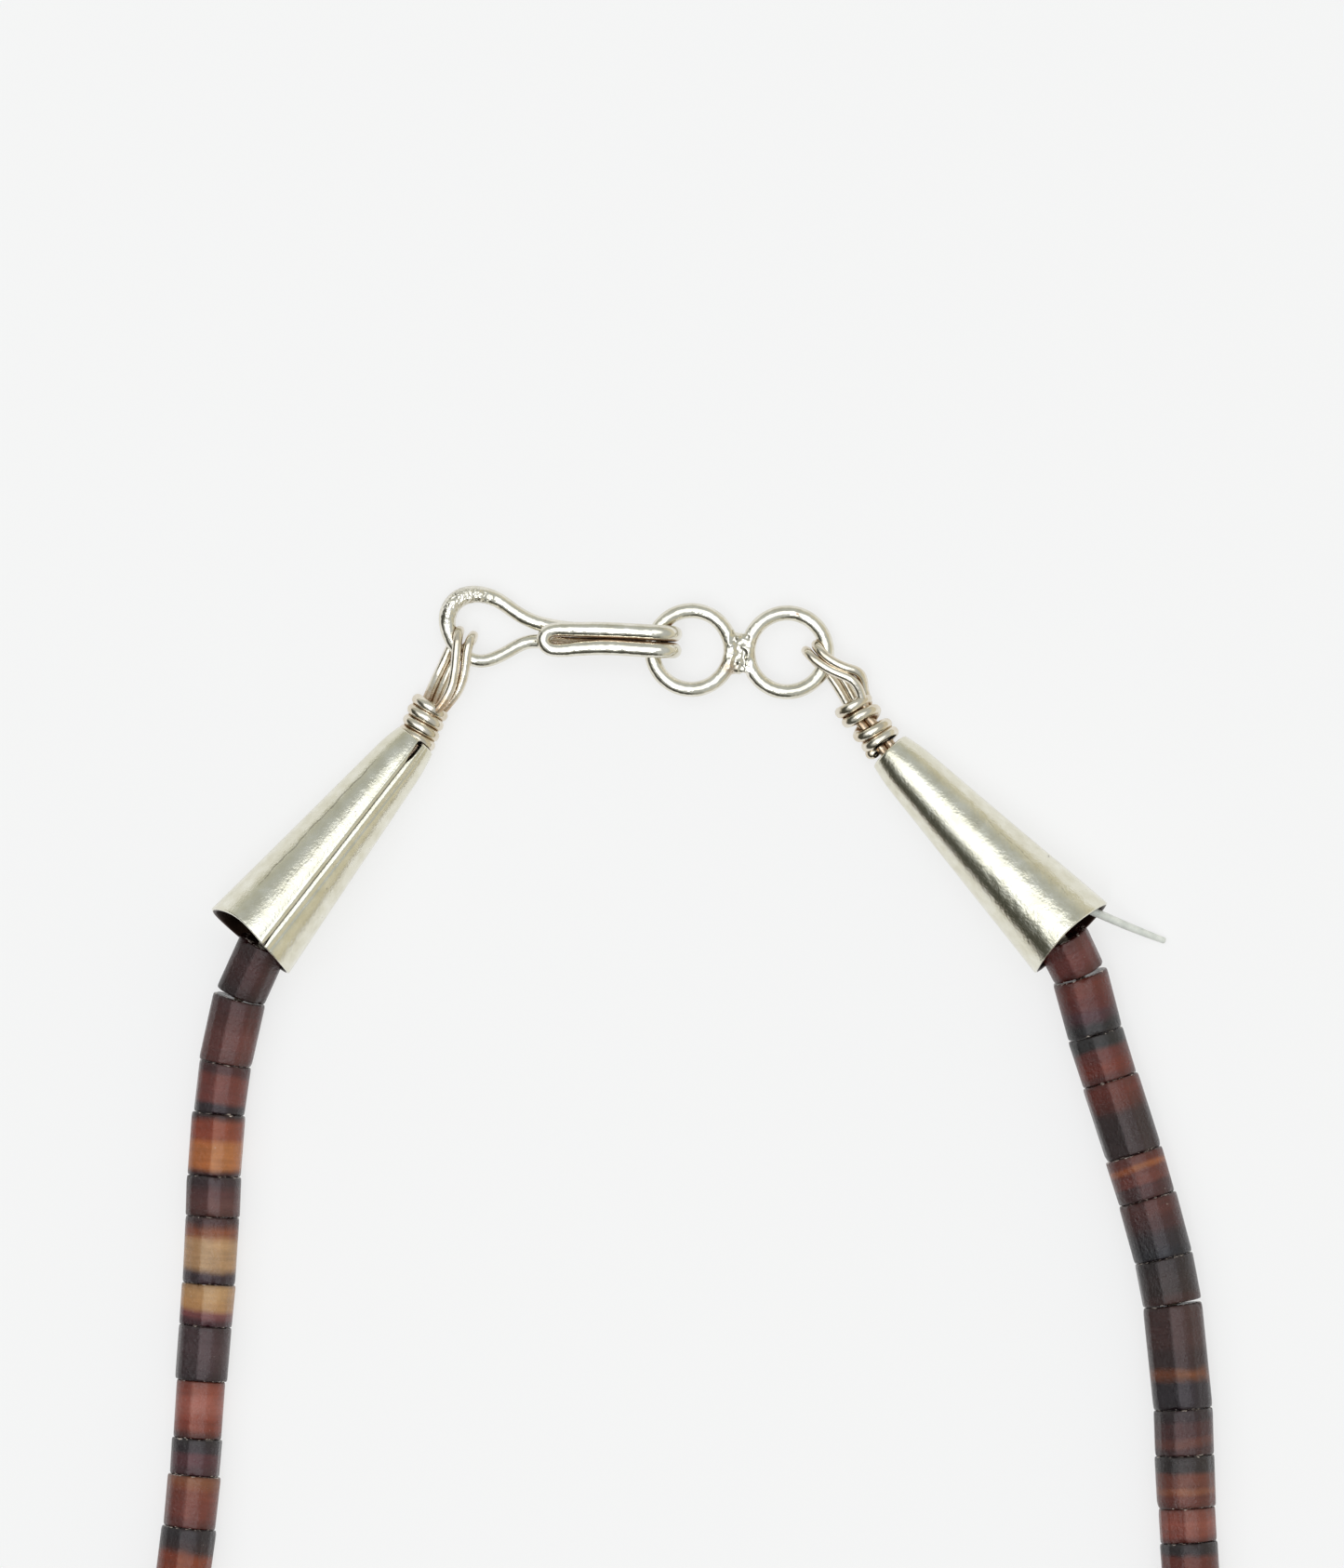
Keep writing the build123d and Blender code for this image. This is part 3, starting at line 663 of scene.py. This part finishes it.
reflection_line_width, beaten_turn, beaten_grain = 0.07, -0.1, 0.14

rolled_sheet = silver(
    "rolled sterling silver sheet",
    tints=("DAD6C2", "E3E0CF", "ECEADD"),
    stain_and_shade_colour="3E2E26",
    polish=(0.07, 0.18),
    scratch=0.024,
    dent=0.02,
    grime=0.3,
)


def bell(distance, width):
    """A bell curve, which is one at no distance and falls away over a width."""
    return np.exp(-((distance / width) ** 2))


def cone_section():
    """The wall's section, down its outer side and back up its inner one: places along the cone, and depths
    below the outer surface, which grow by a parabola over the rounded rims."""
    rim = np.array([0, 0.04, 0.09])
    length = np.concatenate([rim, np.linspace(0.15, cone_length - 0.15, 84), cone_length - rim[::-1]])
    depth = cone_rim * np.clip(1 - np.minimum(length, cone_length - length) / cone_rim, 0, 1) ** 2
    return np.concatenate([length, length[::-1]]), np.concatenate([depth, cone_wall - depth[::-1]])


def rolled_cone(side, end, heading, seam, dents, lines, cut_back, seed):
    """A wall of sheet carried round a cone from one side of its seam to the other. The radius grows evenly
    from the narrow end, which is drawn in, with a few long waves left by the rolling, a ridge and a groove
    beside the seam and small dents near the mouth, which a bell curve of the turn cuts back on one side.
    Painted reflections, thin dark wandering lines, run along it at the given turns from the top, and the
    inner wall is painted dark, tarnish and painted shade inside the cone."""
    random = np.random.default_rng(seed)
    length, depth = cone_section()
    radius = cone_narrow + (cone_wide - cone_narrow) * length / cone_length
    radius = radius - drawn_in * np.clip(1 - length / drawn_length, 0, 1) ** 2
    share = np.linspace(-1, 1, cone_steps)
    share = np.sign(share) * (1 - (1 - np.abs(share)) ** 1.35)
    turn = share[:, None] * (np.pi - np.interp(length, gap_places, gap_halves) / radius)
    from_top = np.angle(np.exp(1j * (turn + np.pi + np.radians(seam))))
    to_seam = np.abs(np.pi - np.abs(turn)) * radius

    waves = np.full_like(turn, -sheet_sunk)
    for _ in range(rolling_waves):
        around, along, phase = random.integers(1, 5), random.uniform(0.1, 0.5), random.uniform(0, 6.3)
        waves += np.sin(around * turn + along * length + phase) * rolling_wave
    for _ in range(dents):
        spot, where = random.normal(beaten_turn, 0.3), random.uniform(0.55, 0.98) * cone_length
        near = ((from_top - spot) * radius) ** 2 + (length - where) ** 2
        waves -= dent_depth * np.exp(-near / random.uniform(0.05, 0.16))
    waves += seam_ridge * bell(to_seam - 0.3, 0.1) - seam_groove * bell(to_seam, 0.14)
    waves -= seam_ridge * bell(to_seam - 0.62, 0.09) * (turn < 0)

    cut_turn, cut_depth = cut_back
    to_mouth = np.clip((length - cone_length + cut_reach) / cut_reach, 0, 1) ** 2
    shortened = cut_depth * to_mouth * bell(from_top - cut_turn, cut_width)
    r = radius - depth + waves - shortened * cone_growth
    skin = np.stack([length - shortened, r * np.sin(from_top), r * np.cos(from_top)], axis=-1)
    skin = skin.reshape(-1, 3).dot(turned(heading, -cone_rise)) + end
    rows, columns = turn.shape
    outer = np.arange(columns // 2 - 1)
    edge = np.stack([outer, outer + 1, columns - 2 - outer, columns - 1 - outer], axis=1)
    faces = [sheet_faces(rows, columns, False, True), edge, edge[:, ::-1] + (rows - 1) * columns]

    # The inner wall is painted fully dark: tarnish and painted shade inside the cone. The seam carries a dark
    # stain.
    stain_shade_and_reflection = np.repeat([0.0, 1.0], columns // 2) + seam_stain * bell(to_seam, 0.12)
    # Painted reflections: thin dark wandering lines, dark things around mirrored and painted onto the sheet.
    for place, start, stop, strength in lines:
        wander = place + 0.02 * np.sin(length * 1.7) + 0.012 * np.sin(length * 4.3)
        within = np.clip((length - start) / 2, 0, 1) * np.clip((stop - length) / 2, 0, 1)
        stain_shade_and_reflection = stain_shade_and_reflection + strength * within * bell((from_top - wander) * radius, reflection_line_width)
    near_mouth = np.clip((length / cone_length - 0.5) / 0.2, 0, 1) * (dents > 0)
    beaten = near_mouth * bell(from_top - beaten_turn, 0.5)
    facts = {"stain_shade_and_reflection": np.clip(stain_shade_and_reflection, 0, 1), "solder": beaten_grain * beaten}
    make_piece(f"silver_{side}_cone", [(skin, faces)], rolled_sheet, f"{side}_cone", facts)


narrow_height = cone_narrow * np.cos(np.radians(cone_rise))
left_end, right_end = (stem + (0, 0, narrow_height) for stem in (left_stem, right_stem))
left_cone_heading, right_cone_heading = 230.7, 314.0
# Painted reflections on each cone, thin dark lines:
left_painted_reflections = [(-0.68, 2, 17, 0.45), (-0.17, 4, 18, 0.35)]  # turn, where it starts and stops, and strength
right_painted_reflections = [(0.62, 7, 19, 0.25), (-0.72, 9, 12, 0.4)]
left_cut, right_cut = (-0.5, 0.6), (0.1, 0.35)  # the turn where the mouth is cut back, and how far
left_seam, right_seam = 16, 200  # degrees from the top
left_dents, right_dents = 0, 80
rolled_cone("left", left_end, left_cone_heading, left_seam, left_dents, left_painted_reflections, left_cut, seed=5)
rolled_cone("right", right_end, right_cone_heading, right_seam, right_dents, right_painted_reflections, right_cut, seed=8)

# The beads: short tubes sawn from dark banded shell, drilled, ground by hand to many small flats and
# polished. Each keeps the bands it was cut across, and its rims are chipped.
bore = 0.62
shown_beads = 14  # on each side, those that the photograph shows and a few more
shown_grid, hidden_grid = (120, 14), (48, 8)  # points round a bead, and along its side
ground_flats, rim_chips = 8, 4  # on each bead, and on each of its rims
chip_length, chip_bite, rim_reach = 0.22, 0.1, 0.19
open_joints = {"left": {0: 0.45}, "right": {0: 0.55, 1: 0.75, 6: 0.4}}  # after which bead, how nearly shut
shut_joint = 0.95
shell_tones = {  # colours from the cone's side of a bead on, the places where they change, and how softly
    "left": [
        ("481B18", "572C2C", "4B2020", "360B0B", 0.3, 0.6, 0.85, 0.15),
        ("613333", "6C362F", "814B45", "76423C", 0.2, 0.45, 0.85, 0.12),
        ("612C2C", "8B483C", "8B4B42", "39202F", 0.2, 0.5, 0.83, 0.08),
        ("3C0B0B", "A8583A", "D48C52", "4B161B", 0.07, 0.42, 0.91, 0.09),
        ("4E363C", "6F4242", "7C504C", "693C36", 0.25, 0.55, 0.85, 0.15),
        ("5C3636", "A4623E", "D8B286", "482C39", 0.12, 0.3, 0.8, 0.09),
        ("DCB483", "D8AC7A", "975C5C", "5C2C39", 0.3, 0.6, 0.8, 0.1),
        ("55393E", "5A4045", "53393E", "42282F", 0.3, 0.6, 0.85, 0.15),
        ("A65C48", "BC7464", "9F513C", "6C2F20", 0.25, 0.6, 0.88, 0.1),
        ("36282F", "3C2C36", "6C3942", "61363F", 0.2, 0.4, 0.8, 0.08),
        ("A86A44", "934E3A", "904B3C", "7E3F36", 0.2, 0.45, 0.8, 0.12),
        ("33242C", "422424", "9F4E24", "5C241B", 0.2, 0.38, 0.8, 0.1),
    ],
    "right": [
        ("7C3F36", "884B45", "7E3F39", "6F3328", 0.3, 0.6, 0.85, 0.15),
        ("813C2C", "79362F", "5F363F", "2C282C", 0.3, 0.55, 0.78, 0.1),
        ("2F2C2C", "7C3C33", "883C28", "76392F", 0.28, 0.55, 0.85, 0.09),
        ("7E3928", "6F3324", "422C2C", "4E3939", 0.2, 0.38, 0.9, 0.1),
        ("7C3C2C", "B36C3C", "834539", "5C2F2F", 0.22, 0.36, 0.68, 0.06),
        ("69332C", "572C2C", "36282F", "20202F", 0.28, 0.55, 0.85, 0.14),
        ("3A2A2C", "42302F", "3E2A26", "552A22", 0.3, 0.6, 0.85, 0.15),
        ("573633", "482C2C", "88512C", "362833", 0.4, 0.62, 0.72, 0.05),
        ("3C2028", "5C2F2F", "794539", "572C2C", 0.2, 0.6, 0.8, 0.08),
        ("392C2C", "814836", "A16445", "814233", 0.3, 0.6, 0.74, 0.06),
        ("9C5745", "AB614E", "9C5442", "7E3C2F", 0.3, 0.6, 0.85, 0.12),
        ("332428", "7E3C2C", "813F2F", "642F28", 0.22, 0.6, 0.85, 0.08),
    ],
}


def loose_solids(spots, corners):
    """Which loose solid each triangle belongs to. Points in one place are merged, and each point takes the
    lowest number among those that its triangles join it to, until none changes."""
    _, merged = np.unique(np.round(spots, 4), axis=0, return_inverse=True)
    linked = merged.ravel()[corners]
    group = np.arange(linked.max() + 1)
    while True:
        lowest = group[linked].min(axis=1)
        joined = group.copy()
        for column in range(3):
            np.minimum.at(joined, linked[:, column], lowest)
        joined = joined[joined]
        if np.array_equal(joined, group):
            break
        group = joined
    _, solid = np.unique(group[linked[:, 0]], return_inverse=True)
    return solid.ravel()


def strung_places(node):
    """Each bead's middle, direction, length and radius, in order from the cone, read from the CAD node: its
    loose solids, the directions from the normals of their ends."""
    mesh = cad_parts[node].data
    spots = np.zeros(len(mesh.vertices) * 3)
    mesh.vertices.foreach_get("co", spots)
    spots = spots.reshape(-1, 3) * 1000 - closure
    corners = np.zeros(len(mesh.polygons) * 3, int)
    mesh.polygons.foreach_get("vertices", corners)
    corners = corners.reshape(-1, 3)
    bead = loose_solids(spots, corners)
    count = bead.max() + 1
    a, b, c = (spots[corners[:, k]] for k in range(3))
    low, high = np.full((count, 3), np.inf), np.full((count, 3), -np.inf)
    for corner in (a, b, c):
        np.minimum.at(low, bead, corner)
        np.maximum.at(high, bead, corner)
    middle = (low + high) / 2
    order = [int(np.argmax(middle[:, 1]))]
    left = set(range(count)) - set(order)
    while left:
        order.append(min(left, key=lambda k: np.linalg.norm(middle[k] - middle[order[-1]])))
        left.remove(order[-1])
    middle = middle[order]
    bead = np.argsort(order)[bead]
    way = unit(np.gradient(middle, axis=0))
    normal = np.cross(b - a, c - a)
    for _ in range(2):
        ahead = np.sum(unit(normal + 1e-12) * way[bead], axis=1)
        ends = np.where(np.abs(ahead) > 0.9, np.sign(ahead), 0)[:, None] * normal
        way = unit(np.stack([np.bincount(bead, ends[:, k], count) for k in range(3)], axis=1))
    half_length, radius = np.full((2, count), -np.inf)
    for corner in (a, b, c):
        out = corner - middle[bead]
        ahead = np.sum(out * way[bead], axis=1)
        np.maximum.at(half_length, bead, ahead)
        np.maximum.at(radius, bead, np.linalg.norm(out - ahead[:, None] * way[bead], axis=1))
    return middle, way, 2 * half_length, radius


def polished_shell():
    """Polished shell, as hard and glossy as horn: soft bands across each bead, fine growth lines, painted
    light on the top right of the crisp edge of its flat with a deeper and redder tone off it as painted
    shade, painted shade darkening towards each rim in the joints, a grain of tiny pits that sparkles in the
    gloss, and white chips along the rims."""
    material, tree = blank_material("ground and polished banded shell")
    kinds = {
        "Vector": ("grown", "changes"),
        "Fac": ("along", "soft", "painted_light_on_top", "rim"),
        "Color": ("tone_0", "tone_1", "tone_2", "tone_3"),
    }
    fact = {
        name: add(tree, "Attribute", output=kind, attribute_name=name)
        for kind, names in kinds.items()
        for name in names
    }
    grown, rim = fact["grown"], fact["rim"]
    waves = add(tree, "Mapping", {"Vector": grown, "Scale": (0.5, 0.3, 0.3)})
    lines = add(tree, "Mapping", {"Vector": grown, "Scale": (3.2, 0.16, 0.16)})
    layers = {  # what the pattern follows, its spots in each millimetre of that, and how finely they break up
        "waves": (waves, 1, 2),
        "lines": (lines, 1, 5),
        "clouds": (grown, 0.6, 3),
        "chips": (grown, 2.4, 3),
        "scuffs": (grown, 2.1, 4),
        "pits": (grown, 3.6, 5),
    }
    noise = {
        layer: add(tree, "TexNoise", {"Vector": vector, "Scale": scale, "Detail": detail, "Roughness": 0.65})
        for layer, (vector, scale, detail) in layers.items()
    }

    where = add(tree, "Math", {0: noise["waves"], 1: 0.16, 2: fact["along"]}, operation="MULTIPLY_ADD")
    changes = add(tree, "SeparateXYZ", {"Vector": fact["changes"]}).node.outputs
    tone = fact["tone_0"]
    for k in range(3):
        past = add(tree, "Math", {0: where, 1: changes[k]}, operation="SUBTRACT")
        past = add(tree, "Math", {0: past, 1: fact["soft"]}, operation="DIVIDE")
        step = {"Value": past, "From Min": -0.92, "From Max": 1.08}
        step = add(tree, "MapRange", step, interpolation_type="SMOOTHSTEP")
        tone = add(tree, "MixRGB", {"Fac": step, "Color1": tone, "Color2": fact[f"tone_{k + 1}"]})
    light = [(0.34, "B8B4B0"), (0.5, "C8C4C2"), (0.66, "D6D4D2")]
    light = add(tree, "ValToRGB", {"Fac": noise["lines"]}, stops=light)
    banded = add(tree, "MixRGB", {"Fac": 0.65, "Color1": tone, "Color2": light}, blend_type="MULTIPLY")
    clouds = add(tree, "ValToRGB", {"Fac": noise["clouds"]}, stops=[(0.35, "6A6060"), (0.65, "D8CEC8")])
    cloudy = add(tree, "MixRGB", {"Fac": 0.2, "Color1": banded, "Color2": clouds}, blend_type="OVERLAY")
    # Painted light and shade: the tone stays as listed on the lit top, right of the crisp edge, and is
    # deepened, darker and redder, everywhere else as painted shade.
    depth = add(tree, "Math", {0: fact["painted_light_on_top"], 1: -0.28, 2: 1.28}, operation="MULTIPLY_ADD")
    painted_shade_off_top = add(tree, "Gamma", {"Color": cloudy, "Gamma": depth})

    # Painted shade: darker towards each rim, in the joints between beads.
    shade = add(tree, "Math", {0: rim, 1: 0.6}, operation="MULTIPLY")
    dark = add(tree, "MixRGB", {"Fac": shade, "Color1": painted_shade_off_top, "Color2": linear("1C1010")})
    chip = add(tree, "Math", {0: rim, 1: 0.42, 2: noise["chips"]}, operation="MULTIPLY_ADD")
    chip = add(tree, "MapRange", {"Value": chip, "From Min": 0.935, "From Max": 0.98, "To Max": 0.9})
    sparse = {"Value": noise["scuffs"], "From Min": 0.7, "From Max": 0.77, "To Max": 0.5}
    scuff = add(tree, "MapRange", sparse)
    worn = add(tree, "Math", {0: chip, 1: scuff}, operation="MAXIMUM")
    colour = add(tree, "MixRGB", {"Fac": worn, "Color1": dark, "Color2": linear("CBBDB2")})

    gloss = {"Value": noise["pits"], "From Min": 0.3, "From Max": 0.75, "To Min": 0.14, "To Max": 0.32}
    rough = add(tree, "MapRange", gloss)
    grain = add(tree, "Bump", {"Height": noise["pits"], "Strength": 0.7, "Distance": 0.00013})
    finish = {
        "Base Color": colour,
        "Roughness": rough,
        "Normal": grain,
        "IOR": 1.56,
        "Specular IOR Level": 0.45,
    }
    join(tree, tree.nodes["Principled BSDF"], finish)
    return material


def sides_of(way):
    """Directions across each bead, level, and up from it."""
    across = unit(np.cross((0, 0, 1.0), way))
    return across, np.cross(way, across)


def sawn_ends(places, nearly_shut):
    """Each bead's two ends as planes: the place along it, and its slopes across and up. An end lies between
    its own square cut and the plane halfway to its neighbour's, by the share to which the joint is shut."""
    middle, way, length, _ = places
    half = length / 2
    shared = unit(way[:-1] + way[1:])
    joint = (middle[:-1] + half[:-1, None] * way[:-1] + middle[1:] - half[1:, None] * way[1:]) / 2
    ends = np.zeros((len(half), 2, 3))
    ends[:, 0, 0], ends[:, 1, 0] = -half, half
    for end, beads in ((1, slice(None, -1)), (0, slice(1, None))):
        across, up = sides_of(way[beads])
        lean = np.sum(way[beads] * shared, axis=1)
        plane = [np.sum(v * shared, axis=1) / lean for v in (joint - middle[beads], -across, -up)]
        ends[beads, end] += nearly_shut[:, None] * (np.stack(plane, axis=1) - ends[beads, end])
    spare = 0.07 * nearly_shut - 0.055
    ends[:-1, 1, 0] -= spare
    ends[1:, 0, 0] += spare
    return ends


def bead_group(places, ends, tones, random, around, rounds):
    """A group of beads on one grid of profile by turn. The radius is the least of the round one and some
    ground flats, joined by a smooth minimum. The first flat lies on top, the second meets it in a crisp edge
    a little to the left, and the rest lie anywhere, each crisp at one edge and worn soft at the other. The
    radius drops towards the rims, and chips bite into them."""
    count = len(tones)
    middle, way, length, radius = (values[:, None, None] for values in places)
    turn = np.linspace(0, 2 * np.pi, around, endpoint=False)[None, None, :]
    side_along = np.concatenate([[0, 0, 0.008, 0.03], np.linspace(0.07, 0.93, rounds), [0.97, 0.992, 1, 1]])
    side_out = np.concatenate([[0, 0.9, 0.965, 0.99], np.ones(rounds), [0.99, 0.965, 0.9, 0]])
    rows = len(side_out)
    side_along, side_out = side_along[None, :, None], side_out[None, :, None]

    def drawn(low, high, *more):
        return random.uniform(low, high, (count, 1, 1, *more))

    def swing_from(spot):
        return np.angle(np.exp(1j * (turn - spot)))

    flats = np.full((count, 1, around), 1.0)
    edge, beside_top, top_cut = drawn(0.12, 0.36), drawn(0.4, 0.55), drawn(0.955, 0.975)
    for k in range(ground_flats):
        face, cut, worn = drawn(0, 2 * np.pi), drawn(0.965, 0.995), drawn(0.002, 0.01)
        if k == 0:
            face, cut = np.pi / 2, top_cut
        if k == 1:
            face, cut = np.pi / 2 + beside_top, top_cut * np.cos(beside_top - edge) / np.cos(edge)
        swing = swing_from(face)
        worn = np.where((swing < 0) & (k != 1), worn + 0.006, 0.0012)
        flat = cut / np.maximum(np.cos(swing), 0.5)
        flats = np.minimum(flats, flat) - worn * np.log1p(np.exp(-np.abs(flats - flat) / worn))
    taper = 1 - drawn(0, 0.03) * side_along
    out = radius * flats * taper
    for end in (0, 1):
        for _ in range(rim_chips):
            spot, wide, bite = drawn(0, 2 * np.pi), drawn(0.06, 0.22), chip_bite * drawn(0, 1) ** 2
            from_end = (side_along - end) * length / chip_length
            out = out - radius * bite * np.exp(-((swing_from(spot) / wide) ** 2) - from_end**2)
    r = bore + (out - bore) * side_out
    y, z = r * np.cos(turn), r * np.sin(turn)
    planes = ends[:, :, :, None, None]
    first, last = (planes[:, k, 0] + planes[:, k, 1] * y + planes[:, k, 2] * z for k in (0, 1))
    x = first + side_along * (last - first)
    across, up = sides_of(way)
    skin = middle + x[..., None] * way + y[..., None] * across + z[..., None] * up

    # Painted light on top of each bead: from the crisp edge, fading to the right and down its sides.
    leftwards = swing_from(np.pi / 2)
    paler = 1 - 0.6 * np.clip(np.sin(edge) - np.sin(leftwards), 0, 1)
    painted_light_on_top = paler * np.clip(2.5 * np.sin(turn), 0, 1) / (1 + np.exp((leftwards - edge) / 0.02))
    slope, seed = drawn(-0.06, 0.06, 2), drawn(0, 200, 3)
    slanted = x + slope[..., 0] * y + slope[..., 1] * z
    rim = np.exp(-np.minimum(side_along, 1 - side_along) * length / rim_reach)
    *colours, changes, soft = np.split(tones[:, None, None], (4, 8, 12, 16, 19), axis=-1)
    facts = {
        "painted_light_on_top": painted_light_on_top,
        "grown": np.stack([slanted, y, z], axis=-1) + seed,
        "along": slanted / length + 0.42,
        "rim": np.where(side_out < 0.5, 0.4, rim),
        "changes": changes,
        "soft": soft[..., 0],
        **{f"tone_{k}": colour for k, colour in enumerate(colours)},
    }
    for fact, values in facts.items():
        tail = values.shape[3:]
        facts[fact] = np.broadcast_to(values, (count, rows, around, *tail)).reshape(-1, *tail)
    one = sheet_faces(rows, around, True, True)
    faces = (one[None] + (np.arange(count) * rows * around)[:, None, None]).reshape(-1, 4)
    return (skin.reshape(-1, 3), [faces]), facts


def bead_string(side, seed):
    """A string's beads as one mesh, with the first ones, which the photograph shows, on a finer grid. The
    rows of tones repeat along it."""
    random = np.random.default_rng(seed)
    places = strung_places(f"{side}_beads")
    count = len(places[0])
    nearly_shut = np.full(count - 1, shut_joint)
    nearly_shut[list(open_joints[side])] = list(open_joints[side].values())
    ends = sawn_ends(places, nearly_shut)
    rows = np.array([np.concatenate([*map(linear, row[:4]), row[4:]]) for row in shell_tones[side]])
    tones = rows[np.arange(count) % len(rows)]
    shells, facts = [], []
    for part, grid in ((slice(0, shown_beads), shown_grid), (slice(shown_beads, None), hidden_grid)):
        group = [values[part] for values in places]
        shell_part, fact = bead_group(group, ends[part], tones[part], random, *grid)
        shells.append(shell_part)
        facts.append(fact)
    joined = {key: np.concatenate([fact[key] for fact in facts]) for key in facts[0]}
    make_piece(f"shell_{side}_beads", shells, shell, f"{side}_beads", joined)
    return places


shell = polished_shell()
left_places = bead_string("left", seed=11)
right_places = bead_string("right", seed=12)

# The thread: three fine cotton strands, twisted together through every bead and tied round the bight of each
# wire loop inside its cone.
thread_height, thread_step, into_cone = 2.0, 0.3, 5.6
strand_radius, strand_sides, strand_offset, twist_length = 0.19, 8, 0.2, 2.6


def cotton():
    """Cream cotton: soft and matt, mottled by its fine fibres."""
    material, tree = blank_material("cream cotton strands")
    fibres = add(tree, "TexNoise", {"Vector": in_millimetres(tree), "Scale": 8, "Detail": 4})
    colour = add(tree, "ValToRGB", {"Fac": fibres}, stops=[(0.3, "B9AB95"), (0.7, "E6DCCB")])
    join(tree, tree.nodes["Principled BSDF"], {"Base Color": colour, "Roughness": 0.85})
    return material


def thread_route():
    """The thread's points: each bead's two ends at the thread's height, from the left cone round."""
    points = []
    for middle, way, length, radius in (left_places, right_places):
        half = way * length[:, None] / 2
        side = np.stack([middle - half, middle + half], axis=1).reshape(-1, 3)
        side[:, 2] += np.repeat(thread_height - radius, 2)
        points.append(side)
    return np.vstack([points[0], points[1][::-1]])


in_left_cone = turned(left_cone_heading, -cone_rise)[0] * into_cone + left_end
in_right_cone = turned(right_cone_heading, -cone_rise)[0] * into_cone + right_end
strung = np.vstack([in_left_cone, thread_route(), in_right_cone])
strung = np.hstack([strung, np.full((len(strung), 1), strand_radius)])
thread_path = smooth_path(strung, thread_step)
along = unit(np.gradient(thread_path[:, :3], axis=0))
beside, above = sides_of(along)
strands = []
for k in range(3):
    turn = np.arange(len(thread_path)) * thread_step / twist_length * 2 * np.pi + k * 2 * np.pi / 3
    offset = strand_offset * (np.cos(turn)[:, None] * beside + np.sin(turn)[:, None] * above)
    strand = np.hstack([thread_path[:, :3] + offset, thread_path[:, 3:]])
    strands.append(round_wire(strand, (0, 0, 1.0), strand_sides))
make_piece("cotton_thread", strands, cotton(), "thread")

# The tail: a loose end of pale filament that sticks out of the right cone's mouth, bends over and comes down
# to the surface.
tail_step, tail_sides = 0.15, 14
tail_route = [  # in closure millimetres, and the filament's radius
    (20.4, -16.9, 3.3, 0.25),
    (23.0, -17.9, 3.35, 0.3),
    (25.8, -19.0, 3.15, 0.31),
    (28.5, -20.15, 1.8, 0.3),
    (31.3, -21.25, 0.4, 0.24),
]


def filament():
    """Pale filament, smooth and softly glossy, a little cloudy along its length."""
    material, tree = blank_material("pale nylon filament")
    cloudy = add(tree, "TexNoise", {"Vector": in_millimetres(tree), "Scale": 1.5, "Detail": 3})
    colour = add(tree, "ValToRGB", {"Fac": cloudy}, stops=[(0.3, "D0D4CE"), (0.7, "EAECE6")])
    join(tree, tree.nodes["Principled BSDF"], {"Base Color": colour, "Roughness": 0.35})
    return material


tail = round_wire(smooth_path(tail_route, tail_step), (0, 0, 1.0), tail_sides)
make_piece("filament_tail", [tail], filament(), "thread_tail")
